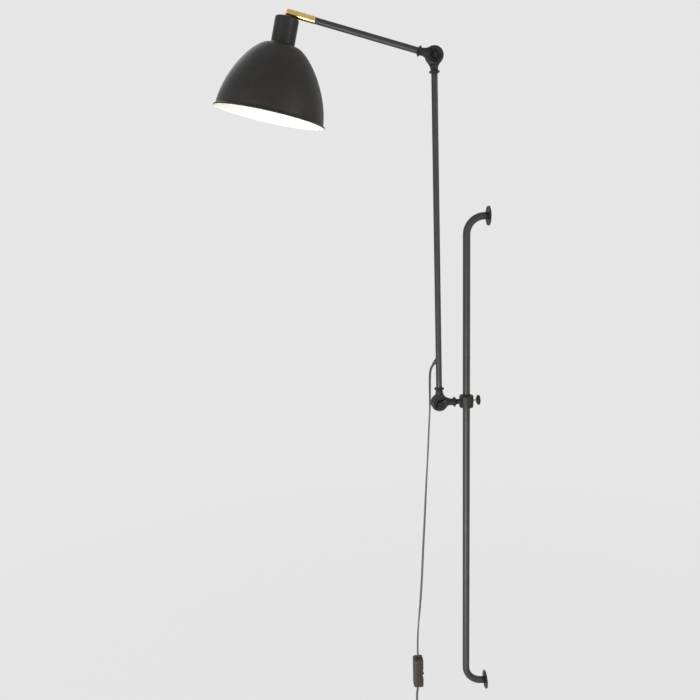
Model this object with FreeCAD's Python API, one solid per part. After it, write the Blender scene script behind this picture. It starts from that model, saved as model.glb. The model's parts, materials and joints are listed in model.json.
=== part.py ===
"""Articulating wall lamp: a bent wall bar, a sliding clamp, two arms with friction knuckles and a spun shade.

Millimetres. +Z is up, the wall is the plane Y = 0, the room lies towards -Y and +X runs along the wall.
The origin is the centre of the top wall flange's back face.
"""

import FreeCAD, Part
import math
import os

V = FreeCAD.Vector
X_AXIS = V(1, 0, 0)
Y_AXIS = V(0, 1, 0)
Z_AXIS = V(0, 0, 1)

# ---- wall bar ----
bar_d = 16.0                 # tube outside diameter
bar_wall = 1.5
bar_standoff = 48.5          # wall to bar axis
bar_bend_radius = 38.0       # centre line of both end bends
mount_spacing = 1105.0       # between the two flange centres
flange_d = 42.0
flange_thickness = 3.0
flange_edge_round = 1.2
flange_screw_d = 4.5
flange_screw_offset = 14.5   # flange centre to each screw hole

# ---- clamp on the bar ----
clamp_drop = 406.0           # clamp centre below the top flange
running_gap = 0.05           # radial play of a running fit
bush_wall = 1.0
bush_slit = 1.6
collar_d = 31.4
collar_height = 27.5
collar_round = 2.4
collar_bore_chamfer = 1.2
boss_reach = 17.6            # bar axis to the flat face that the spigot meets
thumb_screw_d = 4.0
thumb_lift = 1.5             # thumbscrew above the collar's middle
thumb_tip_gap = 0.3          # screw tip to bush
knob_start = 22.8            # bar axis to the knob's near face
knob_thickness = 7.1
knob_d = 22.0
knob_flutes = 20
flute_d = 1.9
knob_bore = 4.5              # how deep the screw sits in the knob
knob_rim_round = 1.6
knob_dish = 0.7              # hollow in the knob's outer face

# ---- spigot ----
spigot_neck_d = 11.8
spigot_bead_d = 23.4
spigot_bead_at = 27.2        # bar axis to the bead's edge
spigot_bead_half = 4.6
spigot_end = 33.0            # bar axis to the face that meets the knuckle
spigot_root_d = 14.6
tenon_d = 8.0
tenon_length = 5.5
spigot_bore_to = 20.0        # knuckle axis to the end of the blind bore towards the spigot
knuckle_reach = 61.15        # bar axis to the lower knuckle axis

# ---- knuckles ----
disc_d = 36.6
disc_half = 8.05             # thickness of each half
washer_thickness = 0.8
disc_edge_round = 3.8
recess_d = 24.0
recess_depth = 1.6
recess_taper = 2.4
cable_room_d = 24.6          # round hollow inside each half
cable_room_depth = 5.0
hub_d = 10.0
neck_clearance = 0.6         # a neck stays this far outside the other half's rim
web_round = 11.0             # hollow curve from a neck into the disc's rim
web_thickness = 6.4
friction_washer_d = 35.0
bolt_d = 6.0
bolt_head_d = 17.0
bolt_head_height = 4.2
bolt_head_rim = 1.0
bolt_chamfer = 0.7
bolt_stand = 1.6             # bolt end beyond the wing nut's hub
nut_washer_d = 15.0
nut_washer_thickness = 1.0
wing_hub_d = 11.0
wing_hub_height = 6.0
wing_span = 38.0
wing_thickness = 2.4
lower_wing_turn = -45.0      # blade from the vertical, degrees about X
upper_wing_turn = 26.0

# ---- arms ----
arm_d = 13.0
arm_wall = 1.5
neck_d = 15.0
arm_bead_d = 21.6
arm_bead_at = 31.5           # knuckle axis to the bead's edge
arm_bead_half = 3.6
arm_start = 35.5             # knuckle axis to the tube's end
arm_lip = 0.7                # how far the casting stands out where the tube begins
bead_edge = 0.7              # rounding of a bead's edge
neck_root = 6.0              # where a neck starts inside its disc
socket_length = 12.0
lower_arm_length = 730.0     # knuckle axis to knuckle axis
lower_arm_lean = 0.5         # degrees from the vertical, towards the room
upper_arm_rise = 16.1        # degrees above the horizontal
upper_arm_reach = 303.6      # upper knuckle axis to hinge pin

# ---- brass fitting ----
brass_d = 15.0
ring_start = 54.4            # hinge pin back to the end ring's far face
ring_length = 12.2
ring_groove = 0.3            # gap between end ring and hinge body
stud_d = 9.9
stud_bore_d = 5.0
stud_engage = 16.0           # stud length inside the hinge body
stud_in_tube = 20.0
stud_groove_depth = 0.9
grub_d = 3.0
hinge_nose = 5.0             # hinge pin to the rounded end
hinge_nose_round = 4.0
hinge_slot_w = 5.0
hinge_slot_length = 11.5     # hinge pin back to the slot's end
hinge_pin_d = 3.0
hinge_pin_head = 0.5         # how far the pin stands in from the brass skin

# ---- shade hinge tongue ----
tongue_thickness = 4.7
tongue_eye_d = 11.0
nipple_d = 9.6
nipple_length = 21.0
nipple_bore_d = 4.4
shoulder_d = 14.0
shoulder_thickness = 1.0
channel_width = 3.6          # slot on the tongue's wall side that lets the lead in
channel_length = 10.5
channel_top = -4.6

# ---- shade ----
shade_lean = 13.4            # degrees, mouth tipped towards the room
shade_drop = 10.1            # hinge pin to the neck's top face
shade_wall = 1.2
shade_neck_d = 48.0
shade_neck_height = 51.5
shade_neck_round = 3.0
shade_shoulder_d = 68.0      # where the dome leaves the neck's cove
shade_shoulder_drop = 2.6
shade_rim_d = 224.0
shade_height = 192.0
dome_fullness = 1.6          # exponents of the dome's curve
dome_roundness = 0.72
rim_roll_d = 3.4
shade_nut_d = 17.0
shade_nut_thickness = 4.0

# ---- lampholder and bulb ----
holder_top = 22.0            # neck top to lampholder top
holder_cap_d = 36.0
holder_d = 41.0
holder_length = 60.0
holder_wall = 2.6
screw_shell_d = 28.6
screw_shell_wall = 0.5
screw_shell_lift = 6.0       # its lower edge above the holder's mouth
screw_shell_drop = 22.0      # its top below the holder's top
contact_d = 9.0
contact_gap = 0.3            # holder contact to the bulb's tip contact
bulb_cap_d = 26.0
bulb_cap_length = 25.0
bulb_d = 66.0
bulb_tip = 187.5             # neck top to the bulb's tip
bulb_neck_d = 30.0

# ---- leads ----
lead_d = 3.0                 # thin twin lead inside the tubes
lead_offset = 3.2            # beside the tube axis, clear of the knuckle's mid plane
lead_bore_gap = 0.8          # room round a lead in its bore
lead_bend_gap = 1.8          # knuckle hub to the lead that loops round it
cord_d = 5.2                 # width of the flat mains cord
exit_height = 103.5          # lower knuckle axis to where the cord's axis crosses the arm's
exit_slope = 36.0            # degrees from the vertical
bush_reach = 9.0             # arm surface to the bush's mouth, along its slope
bush_root_d = 8.0
bush_mouth_d = 6.5
bush_bore_gap = 0.05
bush_step = 1.0              # straight part of the bush outside the arm

# ---- cord route, clear of the knuckle and of the wing nut's sweep ----
cord_side = 14.5             # how far the hanging cord stands beside the lamp's plane
first_run = 6.5              # straight out of the bush
# points of the hanging cord below that: sideways, towards the room, height
bend_points = [
    (0.4, -128.9, -331.0),
    (2.7, -130.9, -343.0),
    (7.0, -131.9, -364.0),
    (11.8, -132.8, -388.0),
    (14.5, -133.6, -416.0),
]
drop_points = [
    (14.2, -136.2, -462.0),
    (14.6, -139.2, -524.0),
    (14.3, -143.7, -596.0),
    (14.8, -147.6, -670.0),
    (14.2, -151.9, -745.0),
    (14.7, -155.4, -818.0),
    (14.4, -160.2, -886.0),
    (14.6, -165.8, -944.0),
    (14.5, -167.6, -985.0),
]
switch_top = -1020.9
switch_y = -167.4
tail_points = [(14.5, -170.6, -1119.0)]
coil_start = -1141.0
coil_y = -170.6

# ---- in-line switch ----
switch_length = 76.0
switch_width = 27.0
switch_depth = 22.6
switch_seam = 4.0            # seam beyond the cord's axis, towards the rocker
switch_corner = 9.0
switch_back_round = 6.0
switch_front_round = 3.2
dip_radius = 33.0
dip_depth = 2.3
rocker_length = 15.5
rocker_width = 12.0
rocker_tilt = 14.0
rocker_horn = 3.4            # how far the rocker's ends stand above its middle
rocker_gap = 0.35
rocker_swing = 0.9           # extra room in the well for the rocker's swing
rocker_pivot_depth = 3.4
trunnion_d = 2.4
trunnion_half = 7.4
switch_wall = 3.0
switch_end_wall = 11.0
switch_screw_d = 3.0
switch_screw_at = 29.0
switch_screw_sink = 0.8      # heads below the back face
switch_screw_bite = 3.0      # screw length in the front shell

# ---- cord coil, tie and plug ----
coil_outer_r = 36.5
coil_pitch = 5.7
coil_turns = 5               # whole turns between the two end bends
end_bend_r = 24.0
tie_thickness = 0.8
tie_width = 6.0
tie_gap = 0.35
plug_relief_length = 14.0
plug_relief_d = 8.4
plug_length = 35.0
plug_width = 26.0
plug_depth = 13.7
plug_neck_width = 13.0
plug_neck_depth = 10.0
pin_d = 4.0
pin_spacing = 18.6
pin_length = 19.0
pin_sleeve_length = 10.0
pin_sleeve_d = 3.8
pin_tip_round = 1.4
pin_root = 8.0               # how deep a pin stands in the plug

# ---- places that follow from the sizes above ----
disc_total = 2 * disc_half + washer_thickness
inner_face = washer_thickness / 2
knuckle_z = -clamp_drop
lower_axis = V(0, -bar_standoff - knuckle_reach, knuckle_z)
lower_lean = lower_arm_lean
upper_lean = 90.0 - upper_arm_rise


def along(lean):
    """Unit vector in the lamp's plane, lean degrees from straight up towards the room."""
    a = math.radians(lean)
    return V(0, -math.sin(a), math.cos(a))


def seat(shape, at, lean):
    """Puts a shape drawn about its own Z axis at a point, its Z tipped by lean degrees towards the room."""
    placed = shape.copy()
    placed.Placement = FreeCAD.Placement(at, FreeCAD.Rotation(X_AXIS, lean)).multiply(shape.Placement)
    return placed


def outline(points):
    """Closed wire in the XZ plane from (radius, height) corners; a corner (mid, end) is reached by an arc."""
    edges = []
    last = points[0]
    for p in list(points[1:]) + [points[0]]:
        a = V(last[0], 0, last[1])
        if isinstance(p[0], tuple):
            m, e = V(p[0][0], 0, p[0][1]), V(p[1][0], 0, p[1][1])
            edges.append(Part.Arc(a, m, e).toShape())
            last = p[1]
        else:
            e = V(p[0], 0, p[1])
            if a.distanceToPoint(e) > 1e-7:
                edges.append(Part.LineSegment(a, e).toShape())
            last = p
    return Part.Wire(edges)


def turned(points):
    """Solid of revolution about Z from (radius, height) corners."""
    return Part.Face(outline(points)).revolve(V(0, 0, 0), Z_AXIS, 360)


def rod(d, z0, z1, x=0.0, y=0.0):
    """Round bar along Z."""
    return Part.makeCylinder(d / 2, z1 - z0, V(x, y, z0), Z_AXIS)


def tube(d, bore, z0, z1):
    return rod(d, z0, z1).cut(rod(bore, z0 - 1, z1 + 1))


def across(shape):
    """Turns a shape drawn about Z so that its Z lies along X."""
    turned_over = shape.copy()
    turned_over.rotate(V(0, 0, 0), Y_AXIS, 90)
    return turned_over


def quarter(corner, r, start, end):
    """Arc of a rounded corner from its centre, for outline(): middle and end from angles in degrees."""
    mid = math.radians((start + end) / 2)
    fin = math.radians(end)
    return (
        (corner[0] + r * math.cos(mid), corner[1] + r * math.sin(mid)),
        (corner[0] + r * math.cos(fin), corner[1] + r * math.sin(fin)),
    )


def crown(r, z0, z1):
    """Arc of a ball-shaped cap that rises from radius r at z0 to z1 on the axis, for outline()."""
    rise = z1 - z0
    ball = (r * r + rise * rise) / (2 * abs(rise))
    half = math.asin(min(1.0, r / ball)) / 2
    way = 1 if rise > 0 else -1
    return ((ball * math.sin(half), z1 - way * ball * (1 - math.cos(half))), (0, z1))


# ---- tubes along a route ----
def route_radii(points):
    """Arc radius at each inner point: 0.45 of the shorter run over the tangent of half the turn."""
    radii = []
    for a, b, c in zip(points, points[1:], points[2:]):
        u, w = b.sub(a), c.sub(b)
        turn = u.getAngle(w)
        radii.append(0.45 * min(u.Length, w.Length) / math.tan(turn / 2))
    return radii


def route_edges(points, first=None, last=None):
    """Straight runs joined by tangent arcs. first and last are run numbers whose middles end the path."""
    radii = route_radii(points)
    runs = []
    corners = []
    for i, r in enumerate(radii):
        a, b, c = points[i], points[i + 1], points[i + 2]
        u, w = (a - b).normalize(), (c - b).normalize()
        turn = math.pi - u.getAngle(w)
        reach = r * math.tan(turn / 2)
        half = (u + w).normalize()
        centre_way = r / math.cos(turn / 2)
        corners.append((b + u * reach, b + half * (centre_way - r), b + w * reach))
    for i in range(len(points) - 1):
        start = points[0] if i == 0 else corners[i - 1][2]
        end = points[-1] if i == len(points) - 2 else corners[i][0]
        runs.append((start, end))
    lo = 0 if first is None else first
    hi = len(runs) - 1 if last is None else last
    edges = []
    for i in range(lo, hi + 1):
        start, end = runs[i]
        middle = (start + end) * 0.5
        if i == lo and first is not None:
            start = middle
        if i == hi and last is not None:
            end = middle
        edges.append(Part.LineSegment(start, end).toShape())
        if i < hi:
            edges.append(Part.Arc(*corners[i]).toShape())
    return edges


def swept(edges, d):
    """Round solid of diameter d along joined edges."""
    first = edges[0]
    start = first.valueAt(first.FirstParameter)
    way = first.tangentAt(first.FirstParameter)
    ring = Part.Wire([Part.Circle(start, way, d / 2).toShape()])
    return Part.Wire(edges).makePipeShell([ring], True, False)


def report_tube(name, body, d, length):
    ratio = body.Volume / (math.pi * d * d / 4 * length)
    print(f"{name}: length {length:.1f} mm, volume over section times length {ratio:.4f}")


parts = {}


# ---- wall bar: one tube bent to the wall at both ends, a flange on each end ----
def bar_path():
    y = -bar_standoff
    r = bar_bend_radius
    low = -mount_spacing
    face = -flange_thickness
    k = r * (1 - math.sqrt(0.5))
    pts = [
        V(0, face, 0), V(0, y + r, 0), V(0, y + k, -k), V(0, y, -r),
        V(0, y, low + r), V(0, y + k, low + k), V(0, y + r, low), V(0, face, low),
    ]
    return [
        Part.LineSegment(pts[0], pts[1]).toShape(),
        Part.Arc(pts[1], pts[2], pts[3]).toShape(),
        Part.LineSegment(pts[3], pts[4]).toShape(),
        Part.Arc(pts[4], pts[5], pts[6]).toShape(),
        Part.LineSegment(pts[6], pts[7]).toShape(),
    ]


parts["wall_bar"] = swept(bar_path(), bar_d).cut(swept(bar_path(), bar_d - 2 * bar_wall))


def flange(z):
    r, t, e = flange_d / 2, flange_thickness, flange_edge_round
    plate = turned([(0, 0), (r, 0), (r, t - e), quarter((r - e, t - e), e, 0, 90), (0, t)])
    plate = seat(plate, V(0, 0, z), 90)
    for side in (-1, 1):
        start = V(0, 1, z + side * flange_screw_offset)
        plate = plate.cut(Part.makeCylinder(flange_screw_d / 2, t + 2, start, V(0, -1, 0)))
    return plate


parts["top_flange"] = flange(0)
parts["bottom_flange"] = flange(-mount_spacing)


# ---- clamp: collar with a plastic bush, thumbscrew towards the wall, boss towards the room ----
bush_bore = bar_d + 2 * running_gap
bush_d = bush_bore + 2 * bush_wall
thumb_hole_d = thumb_screw_d + 2 * running_gap
bar_point = V(0, -bar_standoff, knuckle_z)


def clamp_collar():
    r, h, c = collar_d / 2, collar_height / 2, collar_round
    bore, flare = bush_d / 2, collar_bore_chamfer
    ring = turned([
        (bore, -h + flare), (bore + flare, -h), (r - c, -h), quarter((r - c, -h + c), c, 270, 360),
        (r, h - c), quarter((r - c, h - c), c, 0, 90), (bore + flare, h), (bore, h - flare),
    ])
    ring.translate(bar_point)
    boss = seat(rod(spigot_neck_d, 0, boss_reach), bar_point, 90)
    body = ring.fuse(boss).cut(rod(bush_d, -h - 1, h + 1).translated(bar_point))
    body = body.cut(seat(rod(tenon_d, boss_reach - tenon_length, boss_reach + 1), bar_point, 90))
    thumb = seat(rod(thumb_hole_d, 0, r + 2), bar_point + V(0, 0, thumb_lift), -90)
    return body.cut(thumb).removeSplitter()


parts["clamp_collar"] = clamp_collar()


def clamp_bush():
    """Split plastic sleeve between bar and collar; its slit faces along the wall."""
    h = collar_height / 2
    slit = Part.makeBox(bush_d, bush_slit, collar_height + 2, V(0, -bush_slit / 2, -h - 1))
    return tube(bush_d - 2 * running_gap, bush_bore, -h, h).cut(slit).translated(bar_point)


parts["clamp_bush"] = clamp_bush()
thumb_point = bar_point + V(0, 0, thumb_lift)
parts["clamp_screw"] = seat(
    rod(thumb_screw_d, bush_d / 2 + thumb_tip_gap, knob_start + knob_bore), thumb_point, -90
)


def clamp_knob():
    r, t, e = knob_d / 2, knob_thickness, knob_rim_round
    body = turned([
        (0, 0), (r * 0.62, 0), (r * 0.72, 0.9), ((r * 0.96, 1.3), (r, 2.6)),
        (r, t - e), quarter((r - e, t - e), e, 0, 90), (r * 0.5, t), (r * 0.42, t - knob_dish),
        (0, t - knob_dish),
    ])
    body = body.cut(rod(thumb_screw_d, -1, knob_bore))
    flutes = []
    for i in range(knob_flutes):
        a = 2 * math.pi * i / knob_flutes
        reach = r + flute_d * 0.18
        flutes.append(rod(flute_d, 1.2, t + 1, reach * math.cos(a), reach * math.sin(a)))
    body = body.cut(flutes)
    body.translate(V(0, 0, knob_start))
    return seat(body, thumb_point, -90)


parts["clamp_knob"] = clamp_knob()


def spigot():
    """Turned piece: tenon, neck, double-cone bead, root and a tenon into the knuckle."""
    n, b, e = spigot_neck_d / 2, spigot_bead_d / 2, spigot_root_d / 2
    a, w = spigot_bead_at, spigot_bead_half
    body = turned([
        (0, boss_reach - tenon_length), (tenon_d / 2, boss_reach - tenon_length), (tenon_d / 2, boss_reach),
        (n, boss_reach), (n, a - w), (b - 0.5, a - 0.3), ((b, a), (b - 0.5, a + 0.3)), (e, a + w),
        (e, spigot_end), (tenon_d / 2, spigot_end), (tenon_d / 2, spigot_end + tenon_length),
        (0, spigot_end + tenon_length),
    ])
    return seat(body, bar_point, 90)


parts["spigot"] = spigot()


# ---- knuckle halves: a disc with a hollow for the lead, and a neck; the rear half is on the -X side ----
def disc_half_solid(side):
    """Half of a knuckle about X. side is +1 for the front half, -1 for the rear half."""
    r, e = disc_d / 2, disc_edge_round
    top = inner_face + disc_half
    rr = recess_d / 2
    body = turned([
        (bolt_d / 2 + running_gap, inner_face), (r, inner_face), (r, top - e),
        quarter((r - e, top - e), e, 0, 90), (rr, top), (rr - recess_taper / 2, top - recess_depth),
        (bolt_d / 2 + running_gap, top - recess_depth),
    ])
    room = turned([
        (hub_d / 2, inner_face - 1), (cable_room_d / 2, inner_face - 1),
        (cable_room_d / 2, inner_face + cable_room_depth), (hub_d / 2, inner_face + cable_room_depth),
    ])
    body = across(body.cut(room))
    return body if side > 0 else body.mirror(V(0, 0, 0), X_AXIS)


def knuckle_half(side, neck, root_d, bore_to, at, lean):
    """Disc half with a turned neck along its own Z. The lead's bore runs beside the axis up to bore_to."""
    clear = disc_d / 2 + neck_clearance
    other = across(rod(2 * clear, -inner_face, 2 * disc_total))
    if side > 0:
        other = other.mirror(V(0, 0, 0), X_AXIS)
    arm = neck.fuse(neck_web(side, root_d / 2)).cut(other)
    body = disc_half_solid(side)
    keep_out = across(rod(bolt_d + 2 * running_gap, -disc_total, disc_total))
    recess = across(rod(recess_d - recess_taper, inner_face + disc_half - recess_depth, disc_total))
    room = across(tube(cable_room_d, hub_d, -inner_face - cable_room_depth, inner_face + cable_room_depth))
    if side < 0:
        recess = recess.mirror(V(0, 0, 0), X_AXIS)
    arm = arm.cut([keep_out, recess, room])
    body = body.fuse(arm)
    body = body.cut(rod(lead_d + 2 * lead_bore_gap, hub_d * 0.75, bore_to, side * lead_offset))
    return seat(body.removeSplitter(), at, lean)


def neck_web(side, n):
    """Web on one half's own side that carries a neck of radius n into the disc, hollow on both edges."""
    rim, r = disc_d / 2, web_round
    height = math.sqrt((rim + r) ** 2 - (n + r) ** 2)
    foot = V(0, (n + r) * rim / (rim + r), height * rim / (rim + r))
    centre = V(0, n + r, height)
    middle = centre + ((foot - centre).normalize() + V(0, -1, 0)).normalize() * r
    top = V(0, n, height)

    def other(v):
        return V(v.x, -v.y, v.z)

    face = Part.Face(Part.Wire([
        Part.Arc(foot, middle, top).toShape(), Part.LineSegment(top, other(top)).toShape(),
        Part.Arc(other(top), other(middle), other(foot)).toShape(),
        Part.LineSegment(other(foot), V(0, 0, hub_d)).toShape(),
        Part.LineSegment(V(0, 0, hub_d), foot).toShape(),
    ]))
    return face.extrude(V(side * web_thickness, 0, 0)).translated(V(side * inner_face, 0, 0))


def arm_neck():
    """Neck and bead of an arm casting, with the tenon that the tube slides over."""
    n, b = neck_d / 2, arm_bead_d / 2
    a, w = arm_bead_at, arm_bead_half
    t = arm_d / 2 - arm_wall - running_gap
    lip, e = arm_d / 2 + arm_lip, bead_edge
    return turned([
        (0, neck_root), (n, neck_root), (n, a - w), ((n + 0.5, a - w / 2), (b - e, a - e)),
        ((b, a), (b - e, a + e)), (lip, arm_start - e), (lip, arm_start),
        (t, arm_start), (t, arm_start + socket_length), (0, arm_start + socket_length),
    ])


def spigot_side_neck():
    n = spigot_root_d / 2
    end = knuckle_reach - spigot_end
    return turned([(0, neck_root), (n, neck_root), (n, end), (0, end)])


tenon_end = arm_start + socket_length + 1
upper_axis = lower_axis + along(lower_lean) * lower_arm_length
tenon_bore = seat(rod(tenon_d, spigot_end, spigot_end + tenon_length), bar_point, 90)
parts["lower_knuckle_rear"] = knuckle_half(
    -1, spigot_side_neck(), spigot_root_d, spigot_bore_to, lower_axis, -90
).cut(tenon_bore)
parts["lower_knuckle_front"] = knuckle_half(1, arm_neck(), neck_d, tenon_end, lower_axis, lower_lean)
parts["upper_knuckle_rear"] = knuckle_half(-1, arm_neck(), neck_d, tenon_end, upper_axis, lower_lean + 180)
parts["upper_knuckle_front"] = knuckle_half(1, arm_neck(), neck_d, tenon_end, upper_axis, upper_lean)


def friction_washer(at):
    return across(tube(friction_washer_d, cable_room_d + 0.4, -inner_face, inner_face)).translated(at)


parts["lower_friction_washer"] = friction_washer(lower_axis)
parts["upper_friction_washer"] = friction_washer(upper_axis)

recess_face = inner_face + disc_half - recess_depth
bolt_end = recess_face + nut_washer_thickness + wing_hub_height + bolt_stand


def knuckle_bolt(at):
    """Round-headed bolt, its head in the rear recess."""
    r, h, s = bolt_head_d / 2, bolt_head_height, bolt_d / 2
    head = turned([(0, 0), (r, 0), (r, bolt_head_rim), crown(r, bolt_head_rim, h)])
    head = head.mirror(V(0, 0, 0), Z_AXIS).translated(V(0, 0, -recess_face))
    base = -recess_face - bolt_head_rim / 2
    shank = turned([
        (0, base), (s, base), (s, bolt_end - bolt_chamfer), (s - bolt_chamfer, bolt_end), (0, bolt_end),
    ])
    return across(head.fuse(shank).removeSplitter()).translated(at)


parts["lower_knuckle_bolt"] = knuckle_bolt(lower_axis)
parts["upper_knuckle_bolt"] = knuckle_bolt(upper_axis)


def nut_washer(at):
    base = recess_face
    ring = tube(nut_washer_d, bolt_d + 2 * running_gap, base, base + nut_washer_thickness)
    return across(ring).translated(at)


parts["lower_nut_washer"] = nut_washer(lower_axis)
parts["upper_nut_washer"] = nut_washer(upper_axis)


def wing_nut(at, turn):
    """Hub with two thin ears on one line, drawn about Z and laid along X."""
    h, r, half = wing_hub_height, wing_hub_d / 2, wing_span / 2
    hub = turned([
        (0, 0), (r, 0), (r, 1.2), (r - 1.6, h - 1.0), quarter((r - 2.6, h - 1.0), 1.0, 0, 90), (0, h),
    ])
    ear = outline([
        (0, 0.6), (r + 2.0, 0.9), (half - 3.0, 2.2), ((half - 0.2, 4.6), (half - 2.4, 8.4)),
        ((half - 6.5, 8.6), (r + 1.5, 5.6)), (0, h - 0.6),
    ])
    blade = Part.Face(ear).extrude(V(0, wing_thickness, 0)).translated(V(0, -wing_thickness / 2, 0))
    body = hub.fuse([blade, blade.mirror(V(0, 0, 0), X_AXIS)])
    body = body.cut(rod(bolt_d + 2 * running_gap, -1, h + 6)).removeSplitter()
    body = across(body.translated(V(0, 0, recess_face + nut_washer_thickness)))
    body.rotate(V(0, 0, 0), X_AXIS, turn)
    return body.translated(at)


parts["lower_wing_nut"] = wing_nut(lower_axis, lower_wing_turn)
parts["upper_wing_nut"] = wing_nut(upper_axis, upper_wing_turn)


# ---- arm tubes ----
arm_bore = arm_d - 2 * arm_wall
exit_point = lower_axis + along(lower_lean) * exit_height
exit_lean = 180.0 - exit_slope
exit_way = along(exit_lean)
bush_surface = arm_d / 2 / math.sin(math.radians(exit_slope))
bush_mouth = bush_surface + bush_reach


def lower_arm_tube():
    body = seat(tube(arm_d, arm_bore, arm_start, lower_arm_length - arm_start), lower_axis, lower_lean)
    return body.cut(seat(rod(bush_root_d, 0, 2 * bush_surface), exit_point, exit_lean))


parts["lower_arm_tube"] = lower_arm_tube()

upper_tube_end = upper_arm_reach - ring_start + ring_length
parts["upper_arm_tube"] = seat(tube(arm_d, arm_bore, arm_start, upper_tube_end), upper_axis, upper_lean)


# ---- brass fitting: end ring on the tube, hollow stud, hinge body that turns on the stud ----
ring_back = upper_arm_reach - ring_start
body_start = upper_tube_end + ring_groove
parts["brass_end_ring"] = seat(
    tube(brass_d, arm_d, ring_back, upper_tube_end), upper_axis, upper_lean
)
stud_end = body_start + stud_engage
groove_at = body_start + stud_engage * 0.62
groove_half = grub_d / 2 + 0.4
groove_r = stud_d / 2 - stud_groove_depth


def swivel_stud():
    r, b = stud_d / 2, stud_bore_d / 2
    body = turned([
        (b, upper_tube_end - stud_in_tube), (r, upper_tube_end - stud_in_tube), (r, groove_at - groove_half),
        (groove_r, groove_at - groove_half), (groove_r, groove_at + groove_half),
        (r, groove_at + groove_half), (r, stud_end), (b, stud_end),
    ])
    return seat(body, upper_axis, upper_lean)


parts["swivel_stud"] = swivel_stud()
hinge_point = upper_axis + along(upper_lean) * upper_arm_reach
slot_end = upper_arm_reach - hinge_slot_length


def brass_hinge_body():
    r, e = brass_d / 2, hinge_nose_round
    tip = upper_arm_reach + hinge_nose
    body = turned([
        (0, body_start), (r, body_start), (r, tip - e), quarter((r - e, tip - e), e, 0, 90), (0, tip),
    ])
    body = body.cut(rod(stud_d + 2 * running_gap, body_start - 1, stud_end + 0.4))
    body = body.cut(rod(stud_bore_d, stud_end, slot_end + 1))
    slot = Part.makeBox(
        hinge_slot_w, brass_d + 2, hinge_slot_length + hinge_nose + 1,
        V(-hinge_slot_w / 2, -r - 1, slot_end),
    )
    body = body.cut(slot)
    body = body.cut(across(rod(hinge_pin_d, -brass_d, brass_d)).translated(V(0, 0, upper_arm_reach)))
    body = body.cut(Part.makeCylinder(grub_d / 2, r + 1, V(0, 0, groove_at), V(0, -1, 0)))
    return seat(body, upper_axis, upper_lean)


parts["brass_hinge_body"] = brass_hinge_body()
grub = Part.makeCylinder(
    grub_d / 2, brass_d / 2 - groove_r - 0.9, V(0, -groove_r - 0.3, groove_at), V(0, -1, 0)
)
parts["hinge_grub_screw"] = seat(grub, upper_axis, upper_lean)
pin_half = brass_d / 2 - hinge_pin_head
hinge_pin = across(rod(hinge_pin_d, -pin_half, pin_half)).translated(V(0, 0, upper_arm_reach))
parts["hinge_pin"] = seat(hinge_pin, upper_axis, upper_lean)

# ---- shade group: drawn with Z up along the neck, its origin on the hinge pin ----
shade_tip = -shade_lean


def on_shade(shape):
    return seat(shape, hinge_point, shade_tip)


def hinge_tongue():
    """Flat eye on the hinge pin, running down into a hollow threaded nipple with a shoulder."""
    r, t = tongue_eye_d / 2, tongue_thickness
    eye = across(rod(tongue_eye_d, -t / 2, t / 2))
    height = shade_drop - shoulder_thickness
    web = Part.makeBox(t, tongue_eye_d, height, V(-t / 2, -r, -height))
    shoulder = rod(shoulder_d, -shade_drop, -shade_drop + shoulder_thickness)
    nipple = rod(nipple_d, -shade_drop - nipple_length, -shade_drop)
    body = eye.fuse([web, shoulder, nipple])
    body = body.cut(across(rod(hinge_pin_d + 2 * running_gap, -t, t)))
    bore_top = -shade_drop + shoulder_thickness + 1.0
    body = body.cut(rod(nipple_bore_d, -shade_drop - nipple_length - 1, bore_top))
    channel = Part.makeBox(
        channel_width, shoulder_d, channel_length, V(-channel_width / 2, 0, channel_top - channel_length)
    )
    return on_shade(body.cut(channel).removeSplitter())


parts["hinge_tongue"] = hinge_tongue()


def dome_radius(u):
    """Outside radius of the dome for u from 0 at the shoulder to 1 at the rim."""
    full = (1 - (1 - u) ** dome_fullness) ** dome_roundness
    return shade_shoulder_d / 2 + (shade_rim_d - shade_shoulder_d) / 2 * full


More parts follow.
